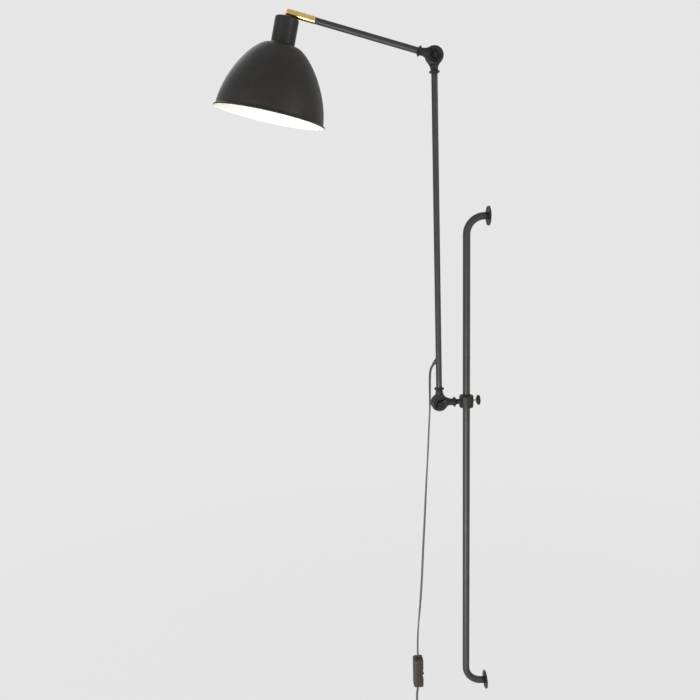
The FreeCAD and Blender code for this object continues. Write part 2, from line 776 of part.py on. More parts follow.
def shade_shell():
    """Spun shell: closed neck, coved shoulder, dome and a rolled rim; wall of even thickness."""
    n, w, e = shade_neck_d / 2, shade_wall, shade_neck_round
    foot = shade_neck_height
    start = foot + shade_shoulder_drop
    steps = [0.0, 0.04, 0.12, 0.25, 0.42, 0.62, 0.82, 1.0]
    outer = [V(dome_radius(u), 0, -(start + u * (shade_height - start))) for u in steps]
    inner = []
    for i, p in enumerate(outer):
        a, b = outer[max(i - 1, 0)], outer[min(i + 1, len(outer) - 1)]
        way = (b - a).normalize()
        inner.append(p + V(way.z, 0, -way.x) * w)
    outer_curve = Part.BSplineCurve()
    outer_curve.interpolate(outer)
    inner_curve = Part.BSplineCurve()
    inner_curve.interpolate(inner)
    cove_out = V(n, 0, -foot + 3.0)
    cove_in = V(n - w, 0, -foot + 2.0)
    top = quarter((n - e, -e), e, 90, 0)
    top_in = quarter((n - e, -e), e - w, 0, 90)
    edges = [
        Part.LineSegment(V(nipple_d / 2, 0, 0), V(n - e, 0, 0)).toShape(),
        Part.Arc(V(n - e, 0, 0), V(top[0][0], 0, top[0][1]), V(n, 0, -e)).toShape(),
        Part.LineSegment(V(n, 0, -e), cove_out).toShape(),
        Part.Arc(cove_out, V(n + 1.6, 0, -foot - 0.3), outer[0]).toShape(),
        outer_curve.toShape(),
        Part.LineSegment(outer[-1], inner[-1]).toShape(),
        inner_curve.toShape(),
        Part.Arc(inner[0], V(n - w + 1.2, 0, -foot - 1.9), cove_in).toShape(),
        Part.LineSegment(cove_in, V(n - w, 0, -e)).toShape(),
        Part.Arc(V(n - w, 0, -e), V(top_in[0][0], 0, top_in[0][1]), V(n - e, 0, -w)).toShape(),
        Part.LineSegment(V(n - e, 0, -w), V(nipple_d / 2, 0, -w)).toShape(),
        Part.LineSegment(V(nipple_d / 2, 0, -w), V(nipple_d / 2, 0, 0)).toShape(),
    ]
    shell = Part.Face(Part.Wire(Part.sortEdges(edges)[0])).revolve(V(0, 0, 0), Z_AXIS, 360)
    roll_r = rim_roll_d / 2
    roll = Part.makeTorus(shade_rim_d / 2 + roll_r - w, roll_r, V(0, 0, -shade_height), Z_AXIS)
    shell = shell.fuse(roll).removeSplitter()
    return on_shade(shell.translated(V(0, 0, -shade_drop)))


parts["shade_shell"] = shade_shell()


def hex_nut(across_flats, thickness, bore, top):
    r = across_flats / math.sqrt(3)
    low = top - thickness
    ring = [V(r * math.cos(math.pi * i / 3), r * math.sin(math.pi * i / 3), low) for i in range(7)]
    body = Part.Face(Part.makePolygon(ring)).extrude(V(0, 0, thickness))
    return body.cut(rod(bore, top - thickness - 1, top + 1))


parts["shade_nut"] = on_shade(
    hex_nut(shade_nut_d, shade_nut_thickness, nipple_d, -shade_drop - shade_wall)
)

# ---- lampholder and bulb, hung on the nipple ----
holder_z = -shade_drop - holder_top
mouth_z = holder_z - holder_length


def lampholder():
    """Moulded holder: a domed cap that screws on the nipple and a straight skirt, open at the mouth."""
    c, r, w = holder_cap_d / 2, holder_d / 2, holder_wall
    nip = nipple_d / 2
    cap = 16.0
    z0, z1 = holder_z, mouth_z
    floor = z0 - cap - 6.0
    return on_shade(turned([
        (nip, z0 + 4.0), (nip + 4.5, z0 + 4.0), (nip + 4.5, z0),
        ((c - 3.0, z0 - 2.4), (c, z0 - cap + 2)),
        (r, z0 - cap), (r, z1 + 1.2), (r - 1.2, z1), (screw_shell_d / 2, z1),
        (screw_shell_d / 2, floor), (nipple_bore_d, floor), (nipple_bore_d, -shade_drop - nipple_length),
        (nip, -shade_drop - nipple_length),
    ]))


parts["lampholder"] = lampholder()
shell_top = holder_z - screw_shell_drop


def screw_shell():
    r, w = screw_shell_d / 2, screw_shell_wall
    hole, low = contact_d / 2 + 3, mouth_z + screw_shell_lift
    return on_shade(turned([
        (hole, shell_top), (r, shell_top), (r, low),
        (r - w, low), (r - w, shell_top - w), (hole, shell_top - w),
    ]))


parts["lampholder_screw_shell"] = screw_shell()
cap_end = mouth_z + bulb_cap_length
parts["lampholder_contact"] = on_shade(
    tube(contact_d + 1.0, contact_d - 4.0, cap_end + contact_gap, shell_top)
)


def bulb_glass():
    """Pear-shaped frosted bulb, hollow."""
    n, r, tip = bulb_neck_d / 2, bulb_d / 2, -shade_drop - bulb_tip
    centre = tip + r
    join = centre + r * math.sin(math.radians(32))
    outer = [
        V(n, 0, mouth_z - 2.0),
        V(n + 1.0, 0, mouth_z - 16.0),
        V(r * 0.72, 0, (mouth_z + join) / 2 - 8.0),
    ]
    side = V(r * math.cos(math.radians(32)), 0, join)
    curve = Part.BSplineCurve()
    tangent = V(math.sin(math.radians(32)), 0, -math.cos(math.radians(32)))
    curve.interpolate(outer + [side], InitialTangent=V(0.02, 0, -1), FinalTangent=tangent)
    low = V(0, 0, tip)
    mid = math.radians(-29)
    edges = [
        Part.LineSegment(V(0, 0, mouth_z - 2.0), outer[0]).toShape(),
        curve.toShape(),
        Part.Arc(side, V(r * math.cos(mid), 0, centre + r * math.sin(mid)), low).toShape(),
        Part.LineSegment(low, V(0, 0, mouth_z - 2.0)).toShape(),
    ]
    return on_shade(Part.Face(Part.Wire(edges)).revolve(V(0, 0, 0), Z_AXIS, 360))


parts["bulb_glass"] = bulb_glass()


def bulb_cap():
    r = bulb_cap_d / 2
    top, low = cap_end, mouth_z - 2.0
    return on_shade(turned([
        (0, low), (bulb_neck_d / 2 - 1.0, low), (r, low + 3.0), (r, top - 6.0), (r - 5.0, top - 2.4),
        (contact_d / 2, top - 2.0), (contact_d / 2, top - 0.8), (contact_d / 2 - 1.0, top), (0, top),
    ]))


parts["bulb_cap"] = bulb_cap()


# ---- cord bush and the leads inside the tubes ----
def cord_bush():
    """Soft bush in the arm's slanted hole with a short tapered nose, bored for the cord."""
    a, b, bore = bush_root_d / 2, bush_mouth_d / 2, cord_d / 2 + bush_bore_gap
    body = turned([(bore, 0), (a, 0), (a, bush_surface + bush_step), (b, bush_mouth), (bore, bush_mouth)])
    inside = seat(rod(arm_bore, exit_height - arm_d, exit_height + arm_d), lower_axis, lower_lean)
    return seat(body, exit_point, exit_lean).cut(inside)


parts["cord_bush"] = cord_bush()


def on_lower_arm(x, reach):
    return lower_axis + along(lower_lean) * reach + V(x, 0, 0)


def on_upper_arm(x, reach):
    return upper_axis + along(upper_lean) * reach + V(x, 0, 0)


room_end = cable_room_d / 2 + 0.2
mouth_point = exit_point + exit_way * bush_mouth

lower_lead_route = [
    on_lower_arm(-lead_offset, lower_arm_length - room_end),
    on_lower_arm(-lead_offset, 190.0),
    on_lower_arm(0, 150.0),
    on_lower_arm(0, exit_height + 14.0),
]
parts["lower_arm_lead"] = swept(route_edges(lower_lead_route), lead_d)
entry_route = [on_lower_arm(0, exit_height + 14.0), exit_point, mouth_point]
parts["cord_entry"] = swept(route_edges(entry_route), cord_d)

upper_lead_route = [
    on_upper_arm(lead_offset, room_end),
    on_upper_arm(lead_offset, 190.0),
    on_upper_arm(0, 222.0),
    on_upper_arm(0, stud_end),
]
parts["upper_arm_lead"] = swept(route_edges(upper_lead_route), lead_d)


def knuckle_lead():
    """Loop of lead round the upper knuckle's bolt, from the rear half's hollow to the front half's."""
    start, end = 180.0 + lower_lean, upper_lean
    r = (hub_d + lead_d) / 2 + lead_bend_gap
    pts = [
        upper_axis + along(start) * room_end + V(-lead_offset, 0, 0),
        upper_axis + along(start) * r + V(-lead_offset, 0, 0),
        upper_axis + along((start + end) / 2) * r,
        upper_axis + along(end) * r + V(lead_offset, 0, 0),
        upper_axis + along(end) * room_end + V(lead_offset, 0, 0),
    ]
    return swept(route_edges(pts), lead_d)


parts["knuckle_lead"] = knuckle_lead()


def on_shade_point(y, z):
    return hinge_point + FreeCAD.Rotation(X_AXIS, shade_tip).multVec(V(0, y, z))


hinge_lead_route = [
    on_upper_arm(0, stud_end),
    on_upper_arm(0, slot_end + 0.4),
    on_shade_point(7.4, -5.4),
    on_shade_point(0, -shade_drop - 0.6),
    on_shade_point(0, -shade_drop - nipple_length - 0.8),
]
parts["hinge_lead"] = swept(route_edges(hinge_lead_route), lead_d)

# ---- hanging cord, in-line switch, coil and plug ----
route = (
    [mouth_point, mouth_point + exit_way * first_run]
    + [V(*p) for p in bend_points]
    + [V(*p) for p in drop_points]
    + [V(cord_side, switch_y, switch_top)]
)
split_run = len(bend_points)
print("cord arc radii:", [round(r, 1) for r in route_radii(route)])
bend_edges = route_edges(route, last=split_run)
drop_edges = route_edges(route, first=split_run)
parts["cord_bend"] = swept(bend_edges, cord_d)
parts["cord_drop"] = swept(drop_edges, cord_d)
switch_low = switch_top - switch_length
tail_start, tail_end = V(cord_side, switch_y, switch_low), V(cord_side, coil_y, coil_start)
tail_route = [tail_start] + [V(*p) for p in tail_points] + [tail_end]
tail_edges = route_edges(tail_route)
print("tail arc radii:", [round(r, 1) for r in route_radii(tail_route)])
parts["cord_tail"] = swept(tail_edges, cord_d)
for name, edges in (("cord_bend", bend_edges), ("cord_drop", drop_edges), ("cord_tail", tail_edges)):
    report_tube(name, parts[name], cord_d, sum(e.Length for e in edges))

switch_middle = V(cord_side, switch_y, switch_top - switch_length / 2)


def switch_body():
    """Rounded casing about its own middle: X wide, Y deep with the rocker on +Y, Z long."""
    hx, hy, hz, c = switch_width / 2, switch_depth / 2, switch_length / 2, switch_corner
    face = outline([
        (hx, -hz + c), (hx, hz - c), quarter((hx - c, hz - c), c, 0, 90), (-hx + c, hz),
        quarter((-hx + c, hz - c), c, 90, 180), (-hx, -hz + c), quarter((-hx + c, -hz + c), c, 180, 270),
        (hx - c, -hz), quarter((hx - c, -hz + c), c, 270, 360),
    ])
    body = Part.Face(face).extrude(V(0, switch_depth, 0)).translated(V(0, -hy, 0))
    body = body.makeFillet(switch_back_round, [e for e in body.Edges if abs(e.CenterOfMass.y + hy) < 1e-6])
    body = body.makeFillet(switch_front_round, [e for e in body.Edges if abs(e.CenterOfMass.y - hy) < 1e-6])
    dip = Part.makeCylinder(dip_radius, switch_width + 2, V(-hx - 1, hy + dip_radius - dip_depth, 0), X_AXIS)
    return body.cut(dip)


def switch_shells():
    body = switch_body()
    size = 2 * switch_length
    seam = Part.makeBox(size, size, size, V(-size / 2, switch_seam, -size / 2))
    hy = switch_depth / 2
    wide, long = rocker_width / 2 + rocker_gap, rocker_length / 2 + rocker_gap + rocker_swing
    well = Part.makeBox(2 * wide, switch_depth, 2 * long, V(-wide, switch_seam - 1, -long))
    trunnion = across(rod(trunnion_d + 2 * running_gap, -trunnion_half - 0.5, trunnion_half + 0.5))
    trunnion = trunnion.translated(V(0, hy - dip_depth - rocker_pivot_depth, 0))
    cord_way = rod(cord_d, -switch_length, switch_length)
    w, end = switch_wall, switch_end_wall
    hollow = Part.makeBox(
        switch_width - 2 * w, switch_seam + hy - w, switch_length - 2 * end,
        V(-switch_width / 2 + w, -hy + w, -switch_length / 2 + end),
    )
    front = body.common(seam).cut([well, trunnion, hollow, cord_way])
    back = body.cut([seam, hollow, cord_way])
    for side in (-1, 1):
        start = V(0, -hy - 1, side * switch_screw_at)
        hole = Part.makeCylinder(switch_screw_d / 2, hy + 1 + switch_seam + switch_screw_bite, start, Y_AXIS)
        back = back.cut(hole)
        front = front.cut(hole)
    return front.translated(switch_middle), back.translated(switch_middle)


parts["switch_front_shell"], parts["switch_back_shell"] = switch_shells()


def switch_rocker():
    """Rocker with a shallow V top, on two stub pins in the front shell."""
    l, w = rocker_length / 2, rocker_width / 2
    top = switch_depth / 2 - dip_depth
    pivot = top - rocker_pivot_depth
    horn = top + rocker_horn
    low = pivot - trunnion_d
    shape = outline([
        (low, -l / 2), (top, -l), (horn, -l + 0.6), (top + 0.5, 0), (horn, l - 0.6), (top, l), (low, l / 2),
    ])
    body = Part.Face(shape).extrude(V(0, 2 * w, 0)).translated(V(0, -w, 0))
    body.rotate(V(0, 0, 0), Z_AXIS, 90)
    stubs = across(rod(trunnion_d, -trunnion_half, trunnion_half)).translated(V(0, pivot, 0))
    body = body.fuse(stubs).removeSplitter()
    body.rotate(V(0, pivot, 0), X_AXIS, rocker_tilt)
    return body.translated(switch_middle)


parts["switch_rocker"] = switch_rocker()
screws = []
for side in (-1, 1):
    low = -switch_depth / 2 + switch_screw_sink
    high = switch_seam + switch_screw_bite - switch_screw_sink
    screws.append(Part.makeCylinder(
        switch_screw_d / 2, high - low, V(0, low, side * switch_screw_at), Y_AXIS
    ).translated(switch_middle))
parts["switch_screws"] = Part.makeCompound(screws)


# ---- coil: two flat layers, spiralling in and out, with a bend of the other hand at each end ----
entry = math.degrees(math.acos(end_bend_r / (coil_outer_r + end_bend_r)))
theta_in = 180.0 - entry
theta_out = 180.0 + entry + 360.0 * coil_turns
theta_mid = (theta_in + theta_out) / 2
coil_rise = (coil_outer_r + end_bend_r) * math.sin(math.radians(entry))
coil_centre = V(cord_side, coil_y, coil_start - cord_d - coil_rise)


def coil_point(theta):
    """Centre line of the coil at an angle in degrees: radius falls to the middle and grows again,
    and the cord steps over by one pitch in the half turn about the middle."""
    away = abs(theta - theta_mid) / 360.0
    inner = coil_outer_r - coil_pitch * (theta_mid - theta_in) / 360.0
    r = inner + coil_pitch * away
    step = min(max((theta - theta_mid) / 180.0 + 0.5, 0.0), 1.0)
    x = coil_pitch * (3 * step ** 2 - 2 * step ** 3)
    a = math.radians(theta)
    return coil_centre + V(x, r * math.cos(a), r * math.sin(a))


def coil_way(theta):
    h = 0.01
    return (coil_point(theta + h) - coil_point(theta - h)).normalize()


def arc_from(a, way, b):
    """Arc from a, leaving along way, to b."""
    chord = b - a
    c = chord.normalize()
    length = a.distanceToPoint(b)
    sideways = way - c * way.dot(c)
    if sideways.Length < 1e-6:
        return Part.LineSegment(a, b).toShape()
    bulge = length / 2 * math.tan(way.getAngle(c) / 2)
    return Part.Arc(a, (a + b) * 0.5 + sideways.normalize() * bulge, b).toShape()


def biarc(a, way_a, b, way_b):
    """Two arcs from a to b with the given directions at the ends."""
    v, t = b - a, way_a + way_b
    k = 2 * (1 - way_a.dot(way_b))
    reach = v.dot(v) / (2 * v.dot(t)) if abs(k) < 1e-9 else (
        (-v.dot(t) + math.sqrt(v.dot(t) ** 2 + k * v.dot(v))) / k
    )
    join = (a + b + (way_a - way_b) * reach) * 0.5
    way_join = (b - way_b * reach - a - way_a * reach).normalize()
    return [arc_from(a, way_a, join), arc_from(join, way_join, b)]


def coil_edges():
    quarters = 4 * coil_turns + 2
    angles = [theta_in + (theta_out - theta_in) * i / quarters for i in range(quarters + 1)]
    start = V(cord_side, coil_y, coil_start)
    down = V(0, 0, -1)
    second = start + down * cord_d
    edges = [Part.LineSegment(start, second).toShape()]
    edges += biarc(second, down, coil_point(theta_in), coil_way(theta_in))
    for a, b in zip(angles, angles[1:]):
        edges += biarc(coil_point(a), coil_way(a), coil_point(b), coil_way(b))
    foot = coil_centre + V(coil_pitch, 0, -coil_rise)
    edges += biarc(coil_point(theta_out), coil_way(theta_out), foot, down)
    edges.append(Part.LineSegment(foot, foot + down * cord_d).toShape())
    return edges, foot + down * cord_d


coil_path, plug_point = coil_edges()
parts["cord_coil"] = swept(coil_path, cord_d)
coil_length = sum(e.Length for e in coil_path)
report_tube("cord_coil", parts["cord_coil"], cord_d, coil_length)


def least_coil_gap():
    """Least distance between the cord's skins where the coil passes itself."""
    walk = []
    for e in coil_path:
        steps = max(2, int(e.Length / 2.0))
        for i in range(steps):
            walk.append(e.valueAt(e.FirstParameter + (e.LastParameter - e.FirstParameter) * i / steps))
    length = 0.0
    reach = []
    for a, b in zip(walk, walk[1:] + [walk[-1]]):
        reach.append(length)
        length += a.distanceToPoint(b)
    best = 1e9
    for i, a in enumerate(walk):
        for j in range(i + 1, len(walk)):
            if reach[j] - reach[i] > 5 * cord_d:
                best = min(best, a.distanceToPoint(walk[j]))
    return best - cord_d


print(f"coil: least gap between turns {least_coil_gap():.2f} mm")


def coil_tie():
    """Flat tie round the bundle at the top of the coil."""
    g, t = cord_d / 2 + tie_gap, tie_thickness
    tops = [coil_point(90.0 + 360.0 * k) - coil_centre for k in range(1, coil_turns + 1)]
    low, high = min(p.z for p in tops) - g, max(p.z for p in tops) + g
    left, right = -g, coil_pitch + g

    def block(extra):
        size = (right - left + 2 * extra, tie_width, high - low + 2 * extra)
        box = Part.makeBox(*size, V(left - extra, -tie_width / 2, low - extra))
        upright = [e for e in box.Edges if abs(e.tangentAt(e.FirstParameter).y) > 0.9]
        return box.makeFillet(1.6 + extra, upright)

    inside = block(0)
    inside = inside.fuse([inside.translated(V(0, -1, 0)), inside.translated(V(0, 1, 0))])
    return block(t).cut(inside).removeSplitter().translated(coil_centre)


parts["coil_tie"] = coil_tie()


def rounded_section(width, depth, corner, z):
    """Closed wire in a level plane: a rectangle with cut corners, wide in Y."""
    w, d, c = width / 2, depth / 2, corner
    pts = [
        (d, -w + c), (d, w - c), (d - c, w), (-d + c, w),
        (-d, w - c), (-d, -w + c), (-d + c, -w), (d - c, -w),
    ]
    return Part.makePolygon([V(x, y, z) for x, y in pts + pts[:1]])


def plug():
    """Flat two-pin plug hanging from its strain relief; its own Z runs up the cord."""
    relief = turned([
        (0, 0), (cord_d / 2 + 0.6, 0), (plug_relief_d / 2, -plug_relief_length), (0, -plug_relief_length),
    ])
    top = -plug_relief_length
    grip = Part.makeLoft([
        rounded_section(plug_neck_width, plug_neck_depth, 2.2, top),
        rounded_section(plug_neck_width + 3.0, plug_neck_depth + 1.0, 2.6, top - 8.0),
        rounded_section(plug_width, plug_depth, 4.2, top - 22.0),
    ], True, True)
    face = Part.makeLoft([
        rounded_section(plug_width, plug_depth, 4.2, top - 22.0),
        rounded_section(plug_width, plug_depth, 4.2, top - plug_length),
    ], True, True)
    body = relief.fuse([grip, face]).removeSplitter()
    pins = []
    for side in (-1, 1):
        y = side * pin_spacing / 2
        base = top - plug_length
        body = body.cut(rod(pin_sleeve_d, base, base + pin_root, 0, y))
        r, tip = pin_d / 2, pin_length
        pin = turned([
            (0, pin_root), (pin_sleeve_d / 2, pin_root), (pin_sleeve_d / 2, -pin_sleeve_length),
            (r, -pin_sleeve_length),
            (r, -tip + pin_tip_round), crown(r, -tip + pin_tip_round, -tip),
        ])
        pins.append(pin.translated(V(0, y, base)))
    return body.translated(plug_point), Part.makeCompound(pins).translated(plug_point)


parts["plug_body"], parts["plug_pins"] = plug()
hanging = sum(e.Length for e in bend_edges + drop_edges + tail_edges)
print(f"cord length from the bush to the plug: {hanging + switch_length + coil_length:.0f} mm")

os.makedirs("parts", exist_ok=True)
for name, shape in parts.items():
    if not shape.isValid() or shape.Volume <= 0:
        print("check this piece:", name, shape.isValid(), round(shape.Volume, 1))
    shape.exportStep(f"parts/{name}.step")
print(len(parts), "pieces")
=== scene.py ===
import json
import math

import bpy
import numpy as np
from mathutils import Matrix, Vector


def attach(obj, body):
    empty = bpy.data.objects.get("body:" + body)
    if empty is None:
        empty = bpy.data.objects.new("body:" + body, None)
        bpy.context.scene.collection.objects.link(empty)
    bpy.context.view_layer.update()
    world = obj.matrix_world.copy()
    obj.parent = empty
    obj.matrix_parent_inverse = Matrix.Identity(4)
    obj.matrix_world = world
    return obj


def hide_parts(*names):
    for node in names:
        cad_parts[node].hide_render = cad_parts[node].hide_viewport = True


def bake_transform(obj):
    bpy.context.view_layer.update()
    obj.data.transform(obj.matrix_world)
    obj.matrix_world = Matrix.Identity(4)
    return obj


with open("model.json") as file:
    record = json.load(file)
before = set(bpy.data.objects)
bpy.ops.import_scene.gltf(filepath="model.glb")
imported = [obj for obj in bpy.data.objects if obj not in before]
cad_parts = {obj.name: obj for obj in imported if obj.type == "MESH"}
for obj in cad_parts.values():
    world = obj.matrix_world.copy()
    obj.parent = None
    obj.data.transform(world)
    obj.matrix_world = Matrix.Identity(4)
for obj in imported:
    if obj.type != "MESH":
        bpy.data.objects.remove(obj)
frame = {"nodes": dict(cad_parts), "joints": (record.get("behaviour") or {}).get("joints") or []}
nodes = frame["nodes"]
joints = {j["name"]: j for j in frame["joints"]}
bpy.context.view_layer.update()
scene = bpy.context.scene

# ---- view ----
# The lamp is seen from the +X side, a little from above. Place in metres, angles in degrees.
camera_place = (1.57404, -0.41974, 0.03783)
camera_yaw, camera_pitch, camera_roll = 4.16, 11.32, -1.72
camera_lens = 38.10          # mm on a 36 mm sensor

yaw, pitch, roll = (math.radians(a) for a in (camera_yaw, camera_pitch, camera_roll))
ahead = Vector((-math.cos(yaw) * math.cos(pitch), math.sin(yaw) * math.cos(pitch), -math.sin(pitch)))
level = Vector((math.sin(yaw), math.cos(yaw), 0))
upright = level.cross(ahead)
right = level * math.cos(roll) + upright * math.sin(roll)
up = upright * math.cos(roll) - level * math.sin(roll)
camera = bpy.data.objects.new("camera", bpy.data.cameras.new("camera"))
camera.data.lens = camera_lens
camera.data.sensor_width = 36
camera.data.clip_end = 100
camera.matrix_world = Matrix.Translation(camera_place) @ Matrix((right, up, -ahead)).transposed().to_4x4()
scene.collection.objects.link(camera)
scene.camera = camera
scene.view_settings.view_transform = "Standard"

# ---- studio ----
# A pale floor below the lamp, a pale surround and soft lamps. The surround and the floor show at
# one grey to the camera and in reflections, while the light on the lamp stays at a plain level.
backdrop_grey = "#E6E6E6"
surround_light = 0.5
floor_level, floor_half = -1.55, 40.0
shaded_to, plain_from, near_share = 0.8, 3.0, 0.86   # the floor's own shading fades out with distance
lamp_middle, shade_mouth = (0, -0.25, -0.2), (0, -0.45, 0.3)


def linear(hex_colour):
    """sRGB hex to linear RGBA."""
    c = np.array([int(hex_colour[i:i + 2], 16) for i in (1, 3, 5)]) / 255
    c = np.where(c <= 0.04045, c / 12.92, ((c + 0.055) / 1.055) ** 2.4)
    return (*c, 1.0)


def add(tree, kind, links=None, **settings):
    """Adds one node: settings are its properties or, by name, its sockets; links feed its sockets."""
    node = tree.nodes.new(kind)
    for name, value in settings.items():
        if hasattr(node, name) and name not in node.inputs:
            setattr(node, name, value)
        else:
            node.inputs[name.replace("_", " ")].default_value = value
    for socket, source in (links or {}).items():
        tree.links.new(source, node.inputs[socket])
    return node


def seen_by_eye(tree):
    """1 for camera, glossy and transmission rays, 0 for the rays that light the lamp."""
    path = add(tree, "ShaderNodeLightPath")
    most = add(tree, "ShaderNodeMath", {0: path.outputs["Is Camera Ray"], 1: path.outputs["Is Glossy Ray"]},
               operation="MAXIMUM")
    return add(tree, "ShaderNodeMath", {0: most.outputs[0], 1: path.outputs["Is Transmission Ray"]},
               operation="MAXIMUM").outputs[0]


world = bpy.data.worlds.new("surround")
world.use_nodes = True
tree = world.node_tree
tree.nodes.clear()
lit = add(tree, "ShaderNodeBackground", Color=(1, 1, 1, 1), Strength=surround_light)
shown = add(tree, "ShaderNodeBackground", Color=linear(backdrop_grey), Strength=1.0)
mixed = add(tree, "ShaderNodeMixShader", {0: seen_by_eye(tree), 1: lit.outputs[0], 2: shown.outputs[0]})
add(tree, "ShaderNodeOutputWorld", {0: mixed.outputs[0]})
scene.world = world

floor_mesh = bpy.data.meshes.new("floor")
floor_mesh.from_pydata([(x * floor_half, y * floor_half, floor_level)
                        for x, y in ((-1, -1), (1, -1), (1, 1), (-1, 1))], [], [(0, 1, 2, 3)])
floor = bpy.data.objects.new("floor", floor_mesh)
scene.collection.objects.link(floor)
paper = bpy.data.materials.new("paper floor")
paper.use_nodes = True
tree = paper.node_tree
tree.nodes.clear()
matt = add(tree, "ShaderNodeBsdfDiffuse", Color=linear(backdrop_grey))
plain = add(tree, "ShaderNodeEmission", Color=linear(backdrop_grey), Strength=1.0)
place = add(tree, "ShaderNodeTexCoord").outputs["Object"]
far = add(tree, "ShaderNodeVectorMath", {0: place}, operation="LENGTH")
plainness = add(tree, "ShaderNodeMapRange", {"Value": far.outputs["Value"]}, From_Min=shaded_to,
                From_Max=plain_from, To_Min=near_share, To_Max=1.0)
share = add(tree, "ShaderNodeMath", {0: seen_by_eye(tree), 1: plainness.outputs[0]}, operation="MULTIPLY")
mixed = add(tree, "ShaderNodeMixShader", {0: share.outputs[0], 1: matt.outputs[0], 2: plain.outputs[0]})
add(tree, "ShaderNodeOutputMaterial", {0: mixed.outputs[0]})
floor_mesh.materials.append(paper)


def softbox(name, place, aim, size, power, colour="#FFFFFF"):
    """One square soft lamp, pointed at a place; size in metres, power in watts."""
    lamp = bpy.data.objects.new(name, bpy.data.lights.new(name, "AREA"))
    lamp.data.size = size
    lamp.data.energy = power
    lamp.data.color = linear(colour)[:3]
    lamp.matrix_world = Matrix.Translation(place) @ (
        Vector(aim) - Vector(place)).to_track_quat("-Z", "Y").to_matrix().to_4x4()
    scene.collection.objects.link(lamp)


softbox("lamp_room_side", (1.9, -2.6, 0.7), lamp_middle, 1.4, 17)
softbox("lamp_wall_side", (2.1, 2.2, 0.5), lamp_middle, 1.4, 30, "#FFF3E6")
softbox("lamp_below", (1.4, -0.9, -1.3), shade_mouth, 0.9, 46)
softbox("lamp_far_side", (-2.4, -1.2, 1.8), lamp_middle, 1.6, 16)


# ---- mains cord ----
# Flat two-core cord with a brown-black PVC sheath, extruded in one piece with a groove along each flat.
# It leaves the lower arm through a short bush, hangs through the in-line switch, and the rest is coiled.
mm = 0.001
cord_width, cord_thickness, cord_groove = 5.2, 3.4, 0.4
cord_side = 14.5             # how far the hanging cord stands beside the lamp's plane
lower_axis = np.array(joints["lower_tilt"]["pos_m"]) / mm
upper_axis = np.array(joints["upper_tilt"]["pos_m"]) / mm
hinge_axis = np.array(joints["shade_tilt"]["pos_m"]) / mm


def along(lean):
    """Unit vector in the lamp's plane, lean degrees from straight up towards the room."""
    return np.array([0, -math.sin(math.radians(lean)), math.cos(math.radians(lean))])


lower_lean = math.degrees(math.atan2(lower_axis[1] - upper_axis[1], upper_axis[2] - lower_axis[2]))
arm_radius, bush_height, bush_relief, bush_lead = 6.5, 103.5, 9.0, 6.5
bush_crossing = lower_axis + along(lower_lean) * bush_height
bush_slope = 36.0            # degrees from the vertical
bush_lean = 180 - bush_slope
bush_mouth_reach = arm_radius / math.sin(math.radians(bush_slope)) + bush_relief
cord_exit = bush_crossing + along(bush_lean) * bush_mouth_reach

bend_points = [
    (0.4, -128.9, -331.0), (2.7, -130.9, -343.0), (7.0, -131.9, -364.0), (11.8, -132.8, -388.0),
    (14.5, -133.6, -416.0),
]
drop_points = [
    (14.2, -136.2, -462.0), (14.6, -139.2, -524.0), (14.3, -143.7, -596.0), (14.8, -147.6, -670.0),
    (14.2, -151.9, -745.0), (14.7, -155.4, -818.0), (14.4, -160.2, -886.0), (14.6, -165.8, -944.0),
    (14.5, -167.6, -985.0),
]
switch_y, switch_top, switch_length = -167.4, -1020.9, 76.0
tail_y, tail_points = -170.6, [(14.5, -170.6, -1119.0)]
coil_start = -1141.0

coil_outer, coil_pitch, coil_turns, end_bend = 36.5, 5.7, 5, 24.0
cord_lead = 5.2              # straight stretch at each end of the coil
entry = math.degrees(math.acos(end_bend / (coil_outer + end_bend)))
theta_in, theta_out = 180 - entry, 180 + entry + 360 * coil_turns
theta_mid = (theta_in + theta_out) / 2
coil_rise = (coil_outer + end_bend) * math.sin(math.radians(entry))
coil_centre = np.array([cord_side, tail_y, coil_start - cord_lead - coil_rise])


def coil_point(theta):
    """Radius falls by a pitch a turn to the middle and grows again; the cord steps one pitch aside
    in the half turn about the middle."""
    inner = coil_outer - coil_pitch * (theta_mid - theta_in) / 360
    r = inner + coil_pitch * abs(theta - theta_mid) / 360
    step = min(max((theta - theta_mid) / 180 + 0.5, 0), 1)
    a = math.radians(theta)
    return coil_centre + (coil_pitch * (3 * step ** 2 - 2 * step ** 3), r * math.cos(a), r * math.sin(a))


def end_bend_points(side, x):
    """The bend of the other hand at an end of the coil: side is 1 above it, -1 below it."""
    centre = coil_centre + (x, -end_bend, side * coil_rise)
    turns = [entry * share for share in (0.17, 0.5, 0.83)][::side]
    return [centre + (0, end_bend * math.cos(math.radians(a)), -side * end_bend * math.sin(math.radians(a)))
            for a in turns]


turn_steps = 20
whole = math.ceil((theta_out - theta_in) / (360 / turn_steps))
coil_line = [coil_point(theta_in + (theta_out - theta_in) * i / whole) for i in range(whole + 1)]
coil_foot = coil_centre + (coil_pitch, 0, -coil_rise)
plug_point = coil_foot - (0, 0, cord_lead)
route = np.array(
    [cord_exit, cord_exit + along(bush_lean) * bush_lead, *bend_points, *drop_points,
     (cord_side, switch_y, switch_top), (cord_side, switch_y, switch_top - switch_length), *tail_points,
     (cord_side, tail_y, coil_start), (cord_side, tail_y, coil_start - cord_lead),
     *end_bend_points(1, 0), *coil_line, *end_bend_points(-1, coil_pitch), coil_foot, plug_point])

